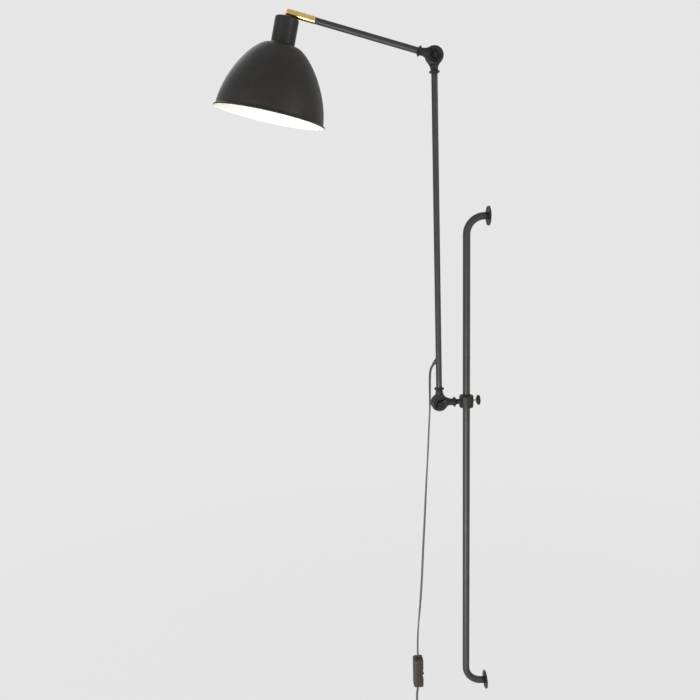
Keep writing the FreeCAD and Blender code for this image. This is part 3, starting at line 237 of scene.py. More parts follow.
curve = bpy.data.curves.new("cord line", "CURVE")
curve.dimensions = "3D"
spline = curve.splines.new("NURBS")
spline.points.add(len(route) - 1)
spline.points.foreach_set("co", np.c_[route * mm, np.ones(len(route))].ravel())
spline.order_u = 3
spline.use_endpoint_u = True
spline.resolution_u = 8
line_object = bpy.data.objects.new("cord line", curve)
line_mesh = bpy.data.meshes.new_from_object(line_object)
cord_line = np.array([v.co for v in line_mesh.vertices]) / mm
bpy.data.objects.remove(line_object)
bpy.data.meshes.remove(line_mesh)
keep = np.r_[True, np.linalg.norm(np.diff(cord_line, axis=0), axis=1) > 0.02]
cord_line = cord_line[keep]


def grid_faces(rows, columns, wrap_rows=False, wrap_columns=True):
    """Quads of a grid of points numbered row by row."""
    i, j = np.meshgrid(np.arange(rows - (not wrap_rows)), np.arange(columns - (not wrap_columns)),
                       indexing="ij")
    down, across = (i + 1) % rows, (j + 1) % columns
    return np.stack([i * columns + j, i * columns + across, down * columns + across, down * columns + j],
                    -1).reshape(-1, 4)


def capped(points):
    """Closed tube of point rings: quads between the rings and a fan of triangles on each end."""
    rows, columns = points.shape[:2]
    verts = np.concatenate([points.reshape(-1, 3), points[:1].mean(1), points[-1:].mean(1)])
    ring = np.arange(columns)
    following = (ring + 1) % columns
    last = (rows - 1) * columns
    fans = [np.stack([following, ring, np.full(columns, rows * columns)], -1),
            np.stack([ring + last, following + last, np.full(columns, rows * columns + 1)], -1)]
    return verts, [grid_faces(rows, columns), *fans]


def solid(name, verts, faces, body, slot, stands_for=(), finish=None, normals=None):
    """Mesh of one closed piece from millimetres, its faces outwards and its shading weighted by area.
    It rides on a body, unless it crosses a joint."""
    faces = faces if isinstance(faces, list) else [faces]
    verts = np.asarray(verts, float)
    volume, weight = 0, np.zeros_like(verts)
    for f in faces:
        p = verts[f]
        area = np.cross(p[:, 1] - p[:, 0], p[:, 2] - p[:, 0])
        if f.shape[1] == 4:
            area = area + np.cross(p[:, 2] - p[:, 0], p[:, 3] - p[:, 0])
        volume += (area * p.mean(1)).sum()
        for k in range(f.shape[1]):
            np.add.at(weight, f[:, k], area)
    if volume < 0:
        faces = [f[:, ::-1] for f in faces]
        weight = -weight
    mesh = bpy.data.meshes.new(name)
    mesh.from_pydata((verts * mm).tolist(), [], [f for group in faces for f in group.tolist()])
    mesh.polygons.foreach_set("use_smooth", np.ones(len(mesh.polygons), bool))
    if normals is None:
        normals = weight / np.maximum(np.linalg.norm(weight, axis=1, keepdims=True), 1e-12)
    mesh.normals_split_custom_set_from_vertices(normals.tolist())
    if finish:
        mesh.materials.append(finish)
    piece = bpy.data.objects.new(name, mesh)
    scene.collection.objects.link(piece)
    if body:
        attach(piece, body)
    if stands_for:
        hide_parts(*stands_for)
    return piece


def carried(path, section, turn=None):
    """A flat section carried along a path. Its first coordinate lies level with the wall line, X, and its
    second square to that and to the path; turn rotates it, in radians at each point."""
    t = np.gradient(path, axis=0)
    t /= np.linalg.norm(t, axis=1, keepdims=True)
    a = np.array([1.0, 0, 0]) - t * t[:, :1]
    a /= np.linalg.norm(a, axis=1, keepdims=True)
    b = np.cross(t, a)
    turn = np.zeros(len(path)) if turn is None else turn
    c, s = np.cos(turn)[:, None], np.sin(turn)[:, None]
    first, second = a * c + b * s, b * c - a * s
    section = np.broadcast_to(section, (len(path), *np.shape(section)[-2:]))
    return (path[:, None] + section[..., :1] * first[:, None] + section[..., 1:] * second[:, None])


def cord_section():
    """Two half circles joined by flats; each flat dips into a groove shaped like a bell curve."""
    r, core = cord_thickness / 2, (cord_width - cord_thickness) / 2
    a = np.radians(np.linspace(-90, 90, 10))
    end = np.c_[core + r * np.cos(a), r * np.sin(a)]
    x = np.linspace(core, -core, 9)[1:-1]
    flat = np.c_[x, r - cord_groove * np.exp(-(x / 0.4) ** 2)]
    half = np.r_[end, flat]
    return np.r_[half, -half]


def finish_of(name, colours, blobs, roughness, skin=None, **sockets):
    """Material with one Principled shader. Its colour wanders between two hex colours in blobs of a size
    in mm. An uneven skin is noise of a blob size that stands up by a height, both in mm."""
    finish = bpy.data.materials.new(name)
    finish.use_nodes = True
    tree = finish.node_tree
    tree.nodes.clear()
    shader = add(tree, "ShaderNodeBsdfPrincipled", Base_Color=linear(colours[0]), Roughness=roughness,
                 **sockets)
    add(tree, "ShaderNodeOutputMaterial", {"Surface": shader.outputs[0]})
    place = add(tree, "ShaderNodeTexCoord").outputs["Object"]
    noise = add(tree, "ShaderNodeTexNoise", {"Vector": place}, Scale=1 / (blobs * mm), Detail=3.0)
    ramp = add(tree, "ShaderNodeValToRGB", {"Fac": noise.outputs["Fac"]})
    for element, position, colour in zip(ramp.color_ramp.elements, (0.35, 0.65), colours):
        element.position = position
        element.color = linear(colour)
    tree.links.new(ramp.outputs[0], shader.inputs["Base Color"])
    if skin:
        size, height = skin
        noise = add(tree, "ShaderNodeTexNoise", {"Vector": place}, Scale=1 / (size * mm), Detail=2.0)
        bump = add(tree, "ShaderNodeBump", {"Height": noise.outputs["Fac"]}, Strength=1.0,
                   Distance=height * mm)
        tree.links.new(bump.outputs[0], shader.inputs["Normal"])
    return finish


# PVC: soft, a little waxy, with a faint brown in its black.
pvc = finish_of("extruded PVC sheath", ("#372F29", "#453B33"), 6.0, 0.46, (0.8, 0.012), IOR=1.53)

# The flat cord hangs twisted: by these heights it is turned this far. At 0 its wide side faces along X.
twist_at = [-1175.0, -1136.0, -1100.0, -1020.0, -985.0, -948.0, -900.0, -828.0, -680.0, -600.0, -509.0,
            -430.0, -395.0, -350.0, -320.0]
twist = [90.0, 176.0, 155.0, 105.0, 100.0, 92.0, 40.0, 6.0, 35.0, 55.0, 88.0, 84.0, 50.0, 5.0, 0.0]
turned_by = np.interp(cord_line[:, 2], twist_at, twist)
in_coil = np.arange(len(cord_line)) > np.argmax(cord_line[:, 2] < twist_at[0])
turned_by[in_coil] = 90.0
window = np.hanning(11) / np.hanning(11).sum()
turned_by = np.convolve(np.pad(turned_by, 5, mode="edge"), window, mode="valid")
cord = solid("mains_cord", *capped(carried(cord_line, cord_section(), np.radians(90 - turned_by))),
             None, "cord_sheath", ("cord_bend", "cord_drop", "cord_tail", "cord_coil"), pvc)
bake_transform(cord)


# ---- wall bar and its flanges ----
# One 16 mm steel tube bent to the wall at both ends, with a pressed flange welded on each end. The whole
# lamp is stove enamelled in a fine, nearly matt anthracite.
bar_radius, bar_standoff, bar_bend, mount_spacing, bar_sunk = 8.0, 48.5, 38.0, 1105.0, 0.3
flange_radius, flange_thickness, flange_round = 21.0, 3.0, 1.2
flange_hole, flange_hole_offset = 2.25, 14.5


# Stove enamel has a fine orange peel. The lamp's one enamel is split into two copies: the castings and the
# shade get a near-black one as painted shade, the tubes one a shade paler as painted light, which also shines
# a little more.
dark_enamel = finish_of("matt anthracite stove enamel", ("#1A1918", "#201E1D"), 14.0, 0.5, (0.9, 0.01),
                        IOR=1.5, Specular_IOR_Level=0.28)
painted_lit_tube_enamel = finish_of("satin anthracite stove enamel painted paler", ("#232120", "#292725"), 14.0, 0.48, (0.7, 0.01),
                        IOR=1.5, Specular_IOR_Level=0.42)


def bar_line(bend_steps=20):
    """Straight out of the wall, a quarter bend down, the long drop, and back the same way."""
    y = -bar_standoff + bar_bend
    quarter = np.linspace(0, math.pi / 2, bend_steps)
    top = np.c_[0 * quarter, y - bar_bend * np.sin(quarter), -bar_bend + bar_bend * np.cos(quarter)]
    low = top[::-1] * (1, 1, -1) - (0, 0, mount_spacing)
    drop = np.linspace(top[-1], low[0], 60)[1:-1]
    end = bar_sunk - flange_thickness
    return np.r_[[(0, end, 0)], top, drop, low, [(0, end, -mount_spacing)]]


def circle(radius, steps=56):
    """Flat section of a round bar or lead."""
    a = np.linspace(0, 2 * math.pi, steps, endpoint=False)
    return radius * np.c_[np.cos(a), np.sin(a)]


# The bar takes the paler copy of the enamel: painted light.
solid("bent_wall_bar", *capped(carried(bar_line(), circle(bar_radius))), "wall_mount", "dark_enamel",
      ("wall_bar",), painted_lit_tube_enamel)


edge_width = 1.17            # soft width that gives a square edge a rounding of 1 mm


def meet(a, b, soft=0.0):
    """Where both shapes are, the edge between them rounded off; a and b are distances, inside below 0."""
    if not soft:
        return np.maximum(a, b)
    h = np.maximum(soft - np.abs(a - b), 0)
    return np.maximum(a, b) + h * h / (4 * soft)


def join(a, b, soft=0.0):
    """Both shapes together, the inner corner between them filled."""
    return -meet(-a, -b, soft)


def skinned(field, low, high, step):
    """Skin of the shape whose distance field is below 0 inside. Each cell of a grid that the skin crosses
    gets one point, the points of the four cells round a crossed grid edge make a quad, and then every
    point slides down the field's slope onto the skin."""
    axes = [np.arange(a - 1.5 * step, b + 2.5 * step, step) for a, b in zip(low, high)]
    value = field(*np.meshgrid(*axes, indexing="ij"))
    size = np.array(value.shape) - 1
    corners = [(i, j, k) for i in (0, 1) for j in (0, 1) for k in (0, 1)]
    part = {c: value[c[0]:size[0] + c[0], c[1]:size[1] + c[1], c[2]:size[2] + c[2]] for c in corners}
    below = sum((part[c] < 0).astype(int) for c in corners)
    crossed = (below > 0) & (below < 8)
    number = np.full(crossed.shape, -1)
    number[crossed] = np.arange(crossed.sum())
    cells = np.argwhere(crossed)
    total, count = np.zeros((len(cells), 3)), np.zeros(len(cells))
    for c in corners:
        for axis in range(3):
            if c[axis]:
                continue
            d = tuple(v + (n == axis) for n, v in enumerate(c))
            a, b = part[c][crossed], part[d][crossed]
            cut = (a < 0) != (b < 0)
            share = a[cut] / (a[cut] - b[cut])
            total[cut] += np.array(c) + share[:, None] * (np.arange(3) == axis)
            count[cut] += 1
    origin = np.array([a[0] for a in axes])
    points = origin + (cells + total / count[:, None]) * step
    faces = []
    for axis in range(3):
        u, w = (axis + 1) % 3, (axis + 2) % 3
        inside = np.moveaxis(value < 0, (axis, u, w), (0, 1, 2))
        grid = np.moveaxis(number, (axis, u, w), (0, 1, 2))
        change = inside[:-1, 1:-1, 1:-1] != inside[1:, 1:-1, 1:-1]
        i, j, k = np.nonzero(change)
        quad = np.stack([grid[i, j, k], grid[i, j + 1, k], grid[i, j + 1, k + 1], grid[i, j, k + 1]], -1)
        leaving = inside[:-1, 1:-1, 1:-1][change]
        quad[~leaving] = quad[~leaving][:, ::-1]
        faces.append(quad)
    for last in (False, False, True):
        reach = 0.02
        slope = np.stack([field(*(points + reach * e).T) - field(*(points - reach * e).T)
                          for e in np.eye(3)], -1)
        slope /= 2 * reach
        if not last:
            there = field(*points.T)[:, None]
            move = -there * slope / np.maximum((slope ** 2).sum(1, keepdims=True), 0.25)
            points = points + np.clip(move, -0.6 * step, 0.6 * step)
    normals = slope / np.maximum(np.linalg.norm(slope, axis=1, keepdims=True), 1e-9)
    return points, np.concatenate(faces), normals


def seated(points, lean, at):
    """Tips points drawn about Z by lean degrees towards the room and puts them at a place."""
    a = math.radians(lean)
    x, y, z = np.moveaxis(points, -1, 0)
    return np.stack([x, y * math.cos(a) - z * math.sin(a), y * math.sin(a) + z * math.cos(a)], -1) + at


def moulded(name, field, low, high, step, lean, at, *rest):
    """Solid piece from a distance field drawn about Z, seated at its place."""
    points, faces, normals = skinned(field, low, high, step)
    return solid(name, seated(points, lean, at), faces, *rest, normals=seated(normals, lean, 0))


def flange_field(x, y, z):
    """Round plate with an eased front edge and two screw holes."""
    r, t = np.hypot(x, y), flange_thickness
    plate = meet(meet(r - flange_radius, z - t, edge_width * flange_round), -z, 0.3)
    for side in (-1, 1):
        plate = meet(plate, flange_hole - np.hypot(x, y - side * flange_hole_offset), 0.5)
    return plate


for name, z in (("top", 0.0), ("bottom", -mount_spacing)):
    moulded(f"{name}_wall_flange", flange_field, (-flange_radius, -flange_radius, 0),
            (flange_radius, flange_radius, flange_thickness), 0.5, 90, (0, 0, z), "wall_mount", "dark_enamel",
            (f"{name}_flange",), dark_enamel)


# ---- clamp collar ----
# Cast collar that slides on the bar over a split nylon bush, with a round boss for the spigot.
collar_radius, collar_half, collar_round, collar_bore, bore_flare = 15.7, 13.75, 2.4, 9.05, 1.2
boss_radius, boss_from, boss_reach = 5.9, 10.0, 17.6
bar_point = np.array([0, -bar_standoff, lower_axis[2]])


def collar_field(x, y, z):
    """Drum with rounded rims and a flared bore, and the boss, which lies along its own -Y."""
    r = np.hypot(x, y)
    drum = meet(r - collar_radius, np.abs(z) - collar_half, edge_width * collar_round)
    boss = meet(np.hypot(x, z) - boss_radius, -y - boss_reach, 0.3)
    boss = meet(boss, y + boss_from)
    body = join(drum, boss, 2.0)
    flare = np.maximum(np.abs(z) - (collar_half - bore_flare), 0)
    return meet(body, collar_bore + flare - r, 0.3)


moulded("clamp_collar_casting", collar_field, (-collar_radius, -boss_reach, -collar_half),
        (collar_radius, collar_radius, collar_half), 0.5, 0, bar_point, "clamp", "dark_enamel",
        ("clamp_collar",), dark_enamel)


# ---- thumbscrew ----
# Turned brass screw with an M4 thread, pressed into a fluted, enamelled knob; it locks the collar.
thumb_at = np.array(joints["thumbscrew_turn"]["pos_m"]) / mm
screw_radius, screw_from, knob_from, knob_radius, knob_thickness = 2.0, 9.35, 22.8, 11.0, 7.1
thread_pitch, thread_depth = 0.7, 0.22
knob_flutes, flute_depth = 20, 0.75


# Brass turned on a lathe and lacquered: warm and bright, its shine broken up a little.
turned_brass = finish_of("lacquered turned brass", ("#C4AA63", "#D3BB79"), 9.0, 0.24, (0.7, 0.0015),
                         Metallic=1.0)


def rounded(corners, steps=7):
    """Profile through (radius, height, rounding) corners; each rounding is an arc tangent to both sides."""
    out = []
    for i, (r, h, e) in enumerate(corners):
        here = np.array([r, h], float)
        if not e or i in (0, len(corners) - 1):
            out.append(here[None])
            continue
        before, after = np.array(corners[i - 1][:2]) - here, np.array(corners[i + 1][:2]) - here
        lengths = np.linalg.norm(before), np.linalg.norm(after)
        u, w = before / lengths[0], after / lengths[1]
        half = math.acos(np.clip(u @ w, -1, 1)) / 2
        e = min(e, 0.49 * min(lengths) * math.tan(half))
        centre = here + (u + w) / np.linalg.norm(u + w) * e / math.sin(half)
        a, b = here + u * e / math.tan(half) - centre, here + w * e / math.tan(half) - centre
        spread = math.pi - 2 * half
        s = np.linspace(0, 1, steps)[:, None]
        out.append(centre + (a * np.sin((1 - s) * spread) + b * np.sin(s * spread)) / math.sin(spread))
    return np.concatenate(out)


def lathe(profile, steps=72, ring=False, bend=None):
    """Turns a profile of (radius, height) about Z. ring joins its end to its start; otherwise the ends lie
    on the axis and close in a point. bend changes the radius by angle and height."""
    a = np.linspace(0, 2 * math.pi, steps, endpoint=False)
    r = np.repeat(profile[:, :1], steps, 1)
    if bend:
        r = r + bend(a[None], profile[:, 1:], r)
    points = np.stack([r * np.cos(a), r * np.sin(a), np.repeat(profile[:, 1:], steps, 1)], -1)
    if ring:
        return points.reshape(-1, 3), [grid_faces(len(profile), steps, wrap_rows=True)]
    verts, faces = capped(points[1:-1])
    verts[-2:] = (0, 0, profile[0, 1]), (0, 0, profile[-1, 1])
    return verts, faces


def turned(name, corners, lean, at, *rest, ring=False, steps=72, bend=None):
    """Solid piece turned from a profile of rounded corners, seated at its place."""
    verts, faces = lathe(rounded(corners), steps, ring, bend)
    return solid(name, seated(verts, lean, at), faces, *rest)


def thread(angle, height, radius):
    """Ridge that climbs one pitch a turn, fading out near the axis."""
    wave = np.cos(2 * math.pi * height / thread_pitch - angle)
    return thread_depth * (0.5 * wave - 0.5) * (radius > screw_radius - 0.3)


screw_rows = np.arange(screw_from + 0.4, knob_from + 2.0, thread_pitch / 7)
screw_profile = np.r_[[(0, screw_from), (screw_radius - 0.5, screw_from)],
                      np.c_[np.full(len(screw_rows), screw_radius), screw_rows],
                      [(screw_radius, knob_from + 4.0), (0, knob_from + 4.0)]]
verts, faces = lathe(screw_profile, 40, bend=thread)
solid("thumbscrew_stem", seated(verts, -90, thumb_at), faces, "thumbscrew", "brass", ("clamp_screw",),
      turned_brass)


def flutes(angle, height, radius):
    """Hollows round the knob's rim that die out towards its two faces."""
    edge = np.clip(radius / knob_radius, 0, 1) ** 12
    return -flute_depth * edge * np.clip(-np.cos(knob_flutes * angle) + 0.3, 0, None)


knob_to, knob_dish = knob_from + knob_thickness, 0.7
turned("thumbscrew_knob", [
    (0, knob_from, 0), (6.8, knob_from, 0.3), (7.9, knob_from + 0.9, 0.8),
    (knob_radius, knob_from + 2.2, 1.0), (knob_radius, knob_to, 1.6), (5.5, knob_to, 0.5),
    (4.6, knob_to - knob_dish, 0.4), (0, knob_to - knob_dish, 0),
], -90, thumb_at, "thumbscrew", "dark_enamel", ("clamp_knob",), dark_enamel, steps=240, bend=flutes)


# ---- spigot ----
# Turned steel spigot that carries the lower knuckle: a plain neck, a sharp double-cone bead and a root.
spigot_from, spigot_root_at, spigot_to = 12.1, 33.0, 38.5
tenon_radius, root_radius = 4.0, 7.3
turned("turned_spigot", [
    (0, spigot_from, 0), (tenon_radius, spigot_from, 0.3), (tenon_radius, boss_reach, 0.1),
    (boss_radius, boss_reach, 0.3), (boss_radius, 22.4, 0.6), (10.9, 26.4, 0.5), (11.7, 27.2, 0.5),
    (11.0, 28.0, 0.4), (root_radius, 31.6, 0.6), (root_radius, spigot_root_at, 0.3),
    (tenon_radius, spigot_root_at, 0.1), (tenon_radius, spigot_to, 0.3), (0, spigot_to, 0),
], 90, bar_point, "clamp", "dark_enamel", ("spigot",), dark_enamel)


# ---- knuckles ----
# Each knuckle is two cast halves about one bolt, a nylon friction washer between them. A half is a disc with
# a rounded rim and a sunk face; its neck widens into it with a hollow cast curve.
disc_radius, disc_half, inner_face, disc_round = 18.3, 8.05, 0.4, 3.8
recess_radius, recess_depth, recess_taper = 12.0, 1.6, 1.2
neck_radius, neck_from, neck_flare, web_reach, web_end, rim_gap = 7.5, 5.0, 9.5, 6.8, 26.0, 0.6
arm_start, bead_radius, bead_round, bead_at, bead_back = 35.5, 11.0, 1.9, 31.6, 3.6
lip_radius, lip_middle, lip_half = 7.2, 32.5, 3.0
spigot_neck_end = 28.15


def arm_bead(r, z):
    """Distance to the flare, the bead and the lip that the arm's tube stands in."""
    widest = bead_radius - 1.0
    flare = widest - (widest - neck_radius) * np.clip((bead_at - 0.7 - z) / bead_back, 0, 1) ** 0.6
    bead = np.hypot(r - bead_radius + bead_round, z - bead_at) - bead_round
    cone = meet(r - flare, np.abs(z - bead_at + bead_back / 2) - bead_back / 2)
    fall = meet((r - lip_radius) * 0.67 + (z - arm_start) * 0.74, bead_at - z)
    lip = meet(r - lip_radius, np.abs(z - lip_middle) - lip_half, 0.5)
    return join(join(bead, cone, 0.5), join(meet(fall, z - arm_start + 0.4, 0.3), lip, 0.3), 0.3)


def knuckle_field(side, arm):
    """Field of one knuckle half, its disc about X and its neck along Z; side 1 is the half with the nut."""
    def field(x, y, z):
        x = side * x
        rho, r = np.hypot(y, z), np.hypot(x, y)
        top = inner_face + disc_half
        disc = meet(meet(rho - disc_radius, x - top, edge_width * disc_round), inner_face - x, 0.4)
        n, end = (neck_radius, arm_start - 1.0) if arm else (root_radius, spigot_neck_end)
        neck = meet(meet(r - n, neck_from - z), z - end, 0.3)
        if arm:
            neck = join(neck, arm_bead(r, z), 0.8)
        web = join(meet(np.abs(y) - n, neck_from - z), rho - disc_radius, neck_flare)
        web = meet(meet(web, x - web_reach, 1.6), meet(inner_face - x, z - web_end), 0.4)
        room = meet(rho - disc_radius - rim_gap, x - inner_face)
        body = meet(join(join(disc, web, 1.6), neck, 1.6), -room, 0.3)
        sunk = rho - recess_radius + recess_taper * np.clip((top - x) / recess_depth, 0, 1)
        return meet(body, -meet(sunk, top - recess_depth - x, 0.5), 0.6)
    return field


upper_lean = math.degrees(math.atan2(upper_axis[1] - hinge_axis[1], hinge_axis[2] - upper_axis[2]))
for name, side, arm, lean, at, body in (
        ("lower_knuckle_rear", -1, False, -90, lower_axis, "clamp"),
        ("lower_knuckle_front", 1, True, lower_lean, lower_axis, "lower_arm"),
        ("upper_knuckle_rear", -1, True, lower_lean + 180, upper_axis, "lower_arm"),
        ("upper_knuckle_front", 1, True, upper_lean, upper_axis, "upper_arm")):
    reach_x, reach_z = (11.5, arm_start) if arm else (8.5, 28.2)
    moulded(f"{name}_casting", knuckle_field(side, arm), (-reach_x, -disc_radius, -disc_radius),
            (reach_x, disc_radius, reach_z), 0.5, lean, at, body, "dark_enamel", (name,), dark_enamel)


# ---- bolts, washers and wing nuts ----
# A round-headed bolt draws each knuckle tight, its head in the rear recess; the die-cast wing nut bears on a
# blackened washer in the front one. Bolt and nut are enamelled with the arms.
recess_face = inner_face + disc_half - recess_depth
washer_thickness, seat_gap = 1.0, 0.05   # the gap keeps faces that bear on each other apart
nut_from = recess_face + washer_thickness + seat_gap
bolt_radius, bolt_end, bolt_chamfer = 3.0, nut_from + 7.6, 0.7
head_radius, head_height, head_rim, socket_flats, socket_depth = 8.5, 4.2, 1.0, 5.0, 2.6
hub_radius, hub_height, half_span, ear_thickness = 5.5, 6.0, 19.0, 2.4
lower_ear_turn, upper_ear_turn = -45.0, 26.0
ear_outline = [(-8, 0.6), (0, 0.6), (7.5, 0.9), (16.0, 2.2), (18.1, 3.2), (18.8, 4.6), (18.6, 6.4),
               (17.8, 7.8), (16.6, 8.4), (14.6, 8.75), (12.5, 8.6), (9.4, 7.5), (7.0, 5.6), (0, 5.4),
               (-8, 5.4)]


def outline_distance(u, w, corners):
    """Distance to a closed outline: the nearest of its sides, below 0 where a line out of the point
    crosses an odd number of them."""
    least, inside = np.full(u.shape, 1e9), np.zeros(u.shape, bool)
    for (a, b), (c, d) in zip(corners, corners[1:] + corners[:1]):
        share = np.clip(((u - a) * (c - a) + (w - b) * (d - b)) / ((c - a) ** 2 + (d - b) ** 2), 0, 1)
        least = np.minimum(least, np.hypot(u - a - share * (c - a), w - b - share * (d - b)))
        if b != d:
            inside ^= ((b > w) != (d > w)) & (u < (c - a) * (w - b) / (d - b) + a)
    return np.where(inside, -least, least)


def laid(points, turn, at):
    """Lays points drawn about Z along the bolt, X, turned about it, and puts them at a place."""
    x, y, z = np.moveaxis(points, -1, 0)
    return seated(np.stack([z, y, -x], -1), turn, at)


def wing_field(x, y, z):
    """Cone-shaped hub with two ears that thin towards their tips, bored for the bolt."""
    r = np.hypot(x, y)
    hub = meet(meet(r - hub_radius, (r - hub_radius) * 0.92 + (z - 1.2) * 0.39, 0.8), z - hub_height, 1.0)
    ears = outline_distance(np.abs(x), z, ear_outline)
    ears = meet(ears, np.abs(y) - ear_thickness / 2 + 0.35 * np.clip(np.abs(x) / half_span, 0, 1), 1.0)
    return meet(meet(join(hub, ears, 1.8), -z, 0.3), bolt_radius + 0.1 - r, 0.3)


def bolt_field(x, y, z):
    """Crowned head with a hexagon socket towards -Z, and a chamfered shank."""
    r, w = np.hypot(x, y), -z - recess_face - seat_gap
    crown = (head_radius ** 2 + (head_height - head_rim) ** 2) / (2 * (head_height - head_rim))
    head = meet(np.sqrt(r ** 2 + (w - head_height + crown) ** 2) - crown, meet(r - head_radius, -w, 0.2), 0.5)
    flats = [np.abs(x * math.cos(a) + y * math.sin(a)) for a in (0, math.pi / 3, 2 * math.pi / 3)]
    hexagon = np.maximum.reduce(flats) - socket_flats / 2
    head = meet(head, -np.maximum(hexagon, head_height - socket_depth - w), 0.3)
    chamfer = (r - bolt_radius + bolt_chamfer + z - bolt_end) * 0.7
    shank = meet(meet(r - bolt_radius, chamfer, 0.2), z - bolt_end)
    return join(head, meet(shank, -z - recess_face - 1.0), 0.2)


# Zinc plate: pale grey, with a dull and slightly cloudy shine.
zinc = finish_of("zinc-plated steel", ("#9C9D9B", "#B6B5B0"), 2.5, 0.34, (0.4, 0.004), Metallic=1.0)
# Black oxide: a thin dark skin that leaves the steel its own sheen.
blackened = finish_of("blackened steel", ("#1D1B1A", "#262423"), 2.0, 0.42, (0.5, 0.003), Metallic=1.0)
# Nylon dyed black: even and a little waxy.
nylon = finish_of("moulded nylon", ("#1B1A19", "#232120"), 3.0, 0.42, (0.6, 0.008), IOR=1.53)


def dressed(finish, *names):
    """A solid whose own shape is right keeps it and gets its finish."""
    for name in names:
        for slot in nodes[name].material_slots:
            slot.link = "OBJECT"
            slot.material = finish


dressed(blackened, "lower_nut_washer", "upper_nut_washer")
dressed(nylon, "lower_friction_washer", "upper_friction_washer", "clamp_bush")
for side, at, body, turn in (("lower", lower_axis, "lower_arm", lower_ear_turn),
                             ("upper", upper_axis, "upper_arm", upper_ear_turn)):
    points, faces, normals = skinned(wing_field, (-half_span, -hub_radius, 0),
                                     (half_span, hub_radius, 8.8), 0.4)
    solid(f"{side}_wing_nut_casting", laid(points + (0, 0, nut_from), turn, at), faces, f"{side}_wing",
          "dark_enamel", (f"{side}_wing_nut",), dark_enamel, laid(normals, turn, 0))
    points, faces, normals = skinned(bolt_field, (-head_radius, -head_radius, -11.1),
                                     (head_radius, head_radius, bolt_end), 0.4)
    solid(f"{side}_knuckle_bolt_forged", laid(points, 0, at), faces, body, "dark_enamel",
          (f"{side}_knuckle_bolt",), dark_enamel, laid(normals, 0, 0))


# ---- arm tubes ----
# Two 13 mm drawn steel tubes, pressed into the beads of the knuckle castings and enamelled with them.
lower_length, ring_back, ring_end = 730.0, 249.2, 261.4

for side, lean, at, start, end in (
        ("lower", lower_lean, lower_axis, arm_start - 1.0, lower_length - arm_start + 1.0),
        ("upper", upper_lean, upper_axis, arm_start - 1.0, ring_end)):
    rows = np.linspace(start, end, 40)
    tube = along(lean) * rows[:, None] + at
    # The tubes take the paler copy of the enamel: painted light.
    solid(f"{side}_arm_drawn_tube", *capped(carried(tube, circle(arm_radius, 64))), f"{side}_arm",
          "dark_enamel", (f"{side}_arm_tube",), painted_lit_tube_enamel)


# ---- brass fitting ----
# Turned end ring on the upper arm, and the hinge body, which turns on a hollow stud behind the ring; a fork
# in its rounded nose takes the shade's tongue on a steel pin.
brass_radius, body_from, slot_from, pin_reach, nose_reach = 7.5, 261.7, 292.1, 303.6, 308.6
nose_round, fork_gap, hinge_pin_radius, hinge_pin_half = 4.0, 5.0, 1.5, 7.0
grub_reach, grub_radius, grub_face = 271.62, 1.5, -3.5
ring_bore, ring_groove, groove_at = 6.4, 7.25, ring_end - 2.6


def hinge_field(x, y, z):
    """Rod with a rounded nose and an eased back edge, slotted from the nose, cross-drilled for the pin."""
    r = np.hypot(x, y)
    nose = np.hypot(np.maximum(r - brass_radius + nose_round, 0), np.maximum(z - nose_reach + nose_round, 0))
    rod = np.maximum(nose - nose_round, np.maximum(r - brass_radius, z - nose_reach))
    rod = meet(rod, body_from - z, 0.6)
    slot = np.maximum(np.abs(x) - fork_gap / 2, slot_from - z)
    rod = meet(rod, -slot, 0.4)
    rod = meet(rod, hinge_pin_radius - np.hypot(y, z - pin_reach), 0.3)
    return meet(rod, -np.maximum(np.hypot(x, z - grub_reach) - grub_radius, y - grub_face), 0.3)


turned("brass_end_ring_turned", [
    (ring_bore, ring_back, 0.1), (7.1, ring_back, 0.3), (brass_radius, ring_back + 0.6, 0.3),
    (brass_radius, groove_at - 0.6, 0.2), (ring_groove, groove_at - 0.3, 0.1), (ring_groove, groove_at, 0.1),
    (brass_radius, groove_at + 0.3, 0.2), (brass_radius, ring_end, 0.35), (ring_bore, ring_end, 0.1),
], upper_lean, upper_axis, "upper_arm", "brass", ("brass_end_ring",), turned_brass, ring=True)
moulded("brass_hinge_body_turned", hinge_field, (-brass_radius, -brass_radius, body_from),
        (brass_radius, brass_radius, nose_reach), 0.42, upper_lean, upper_axis, "shade_swivel", "brass",
        ("brass_hinge_body",), turned_brass)
pin_corners = [(0, -hinge_pin_half, 0), (hinge_pin_radius, -hinge_pin_half, 0.3),
               (hinge_pin_radius, hinge_pin_half, 0.3), (0, hinge_pin_half, 0)]
verts, faces = lathe(rounded(pin_corners), 32)
solid("hinge_pin_ground", laid(verts, 0, hinge_axis), faces, "shade_swivel", "steel", ("hinge_pin",), zinc)
dressed(zinc, "hinge_grub_screw")
dressed(turned_brass, "swivel_stud")


# ---- shade hinge tongue ----
# Brass eye between the fork's cheeks, running down through a shoulder into the hollow threaded nipple that
# holds shade and lampholder together.
shade_lean = -13.4           # the mouth tips towards the room
seat_z = -10.1               # hinge pin down to the shade's top face
nipple_radius, nipple_end = 4.8, seat_z - 21.0
eye_radius, eye_half, collar_wide, collar_height = 5.5, 2.35, 7.0, 1.0
channel_half, channel_top, channel_foot = 1.8, -4.6, -15.1
lead_hole, lead_hole_top = 2.2, -8.1


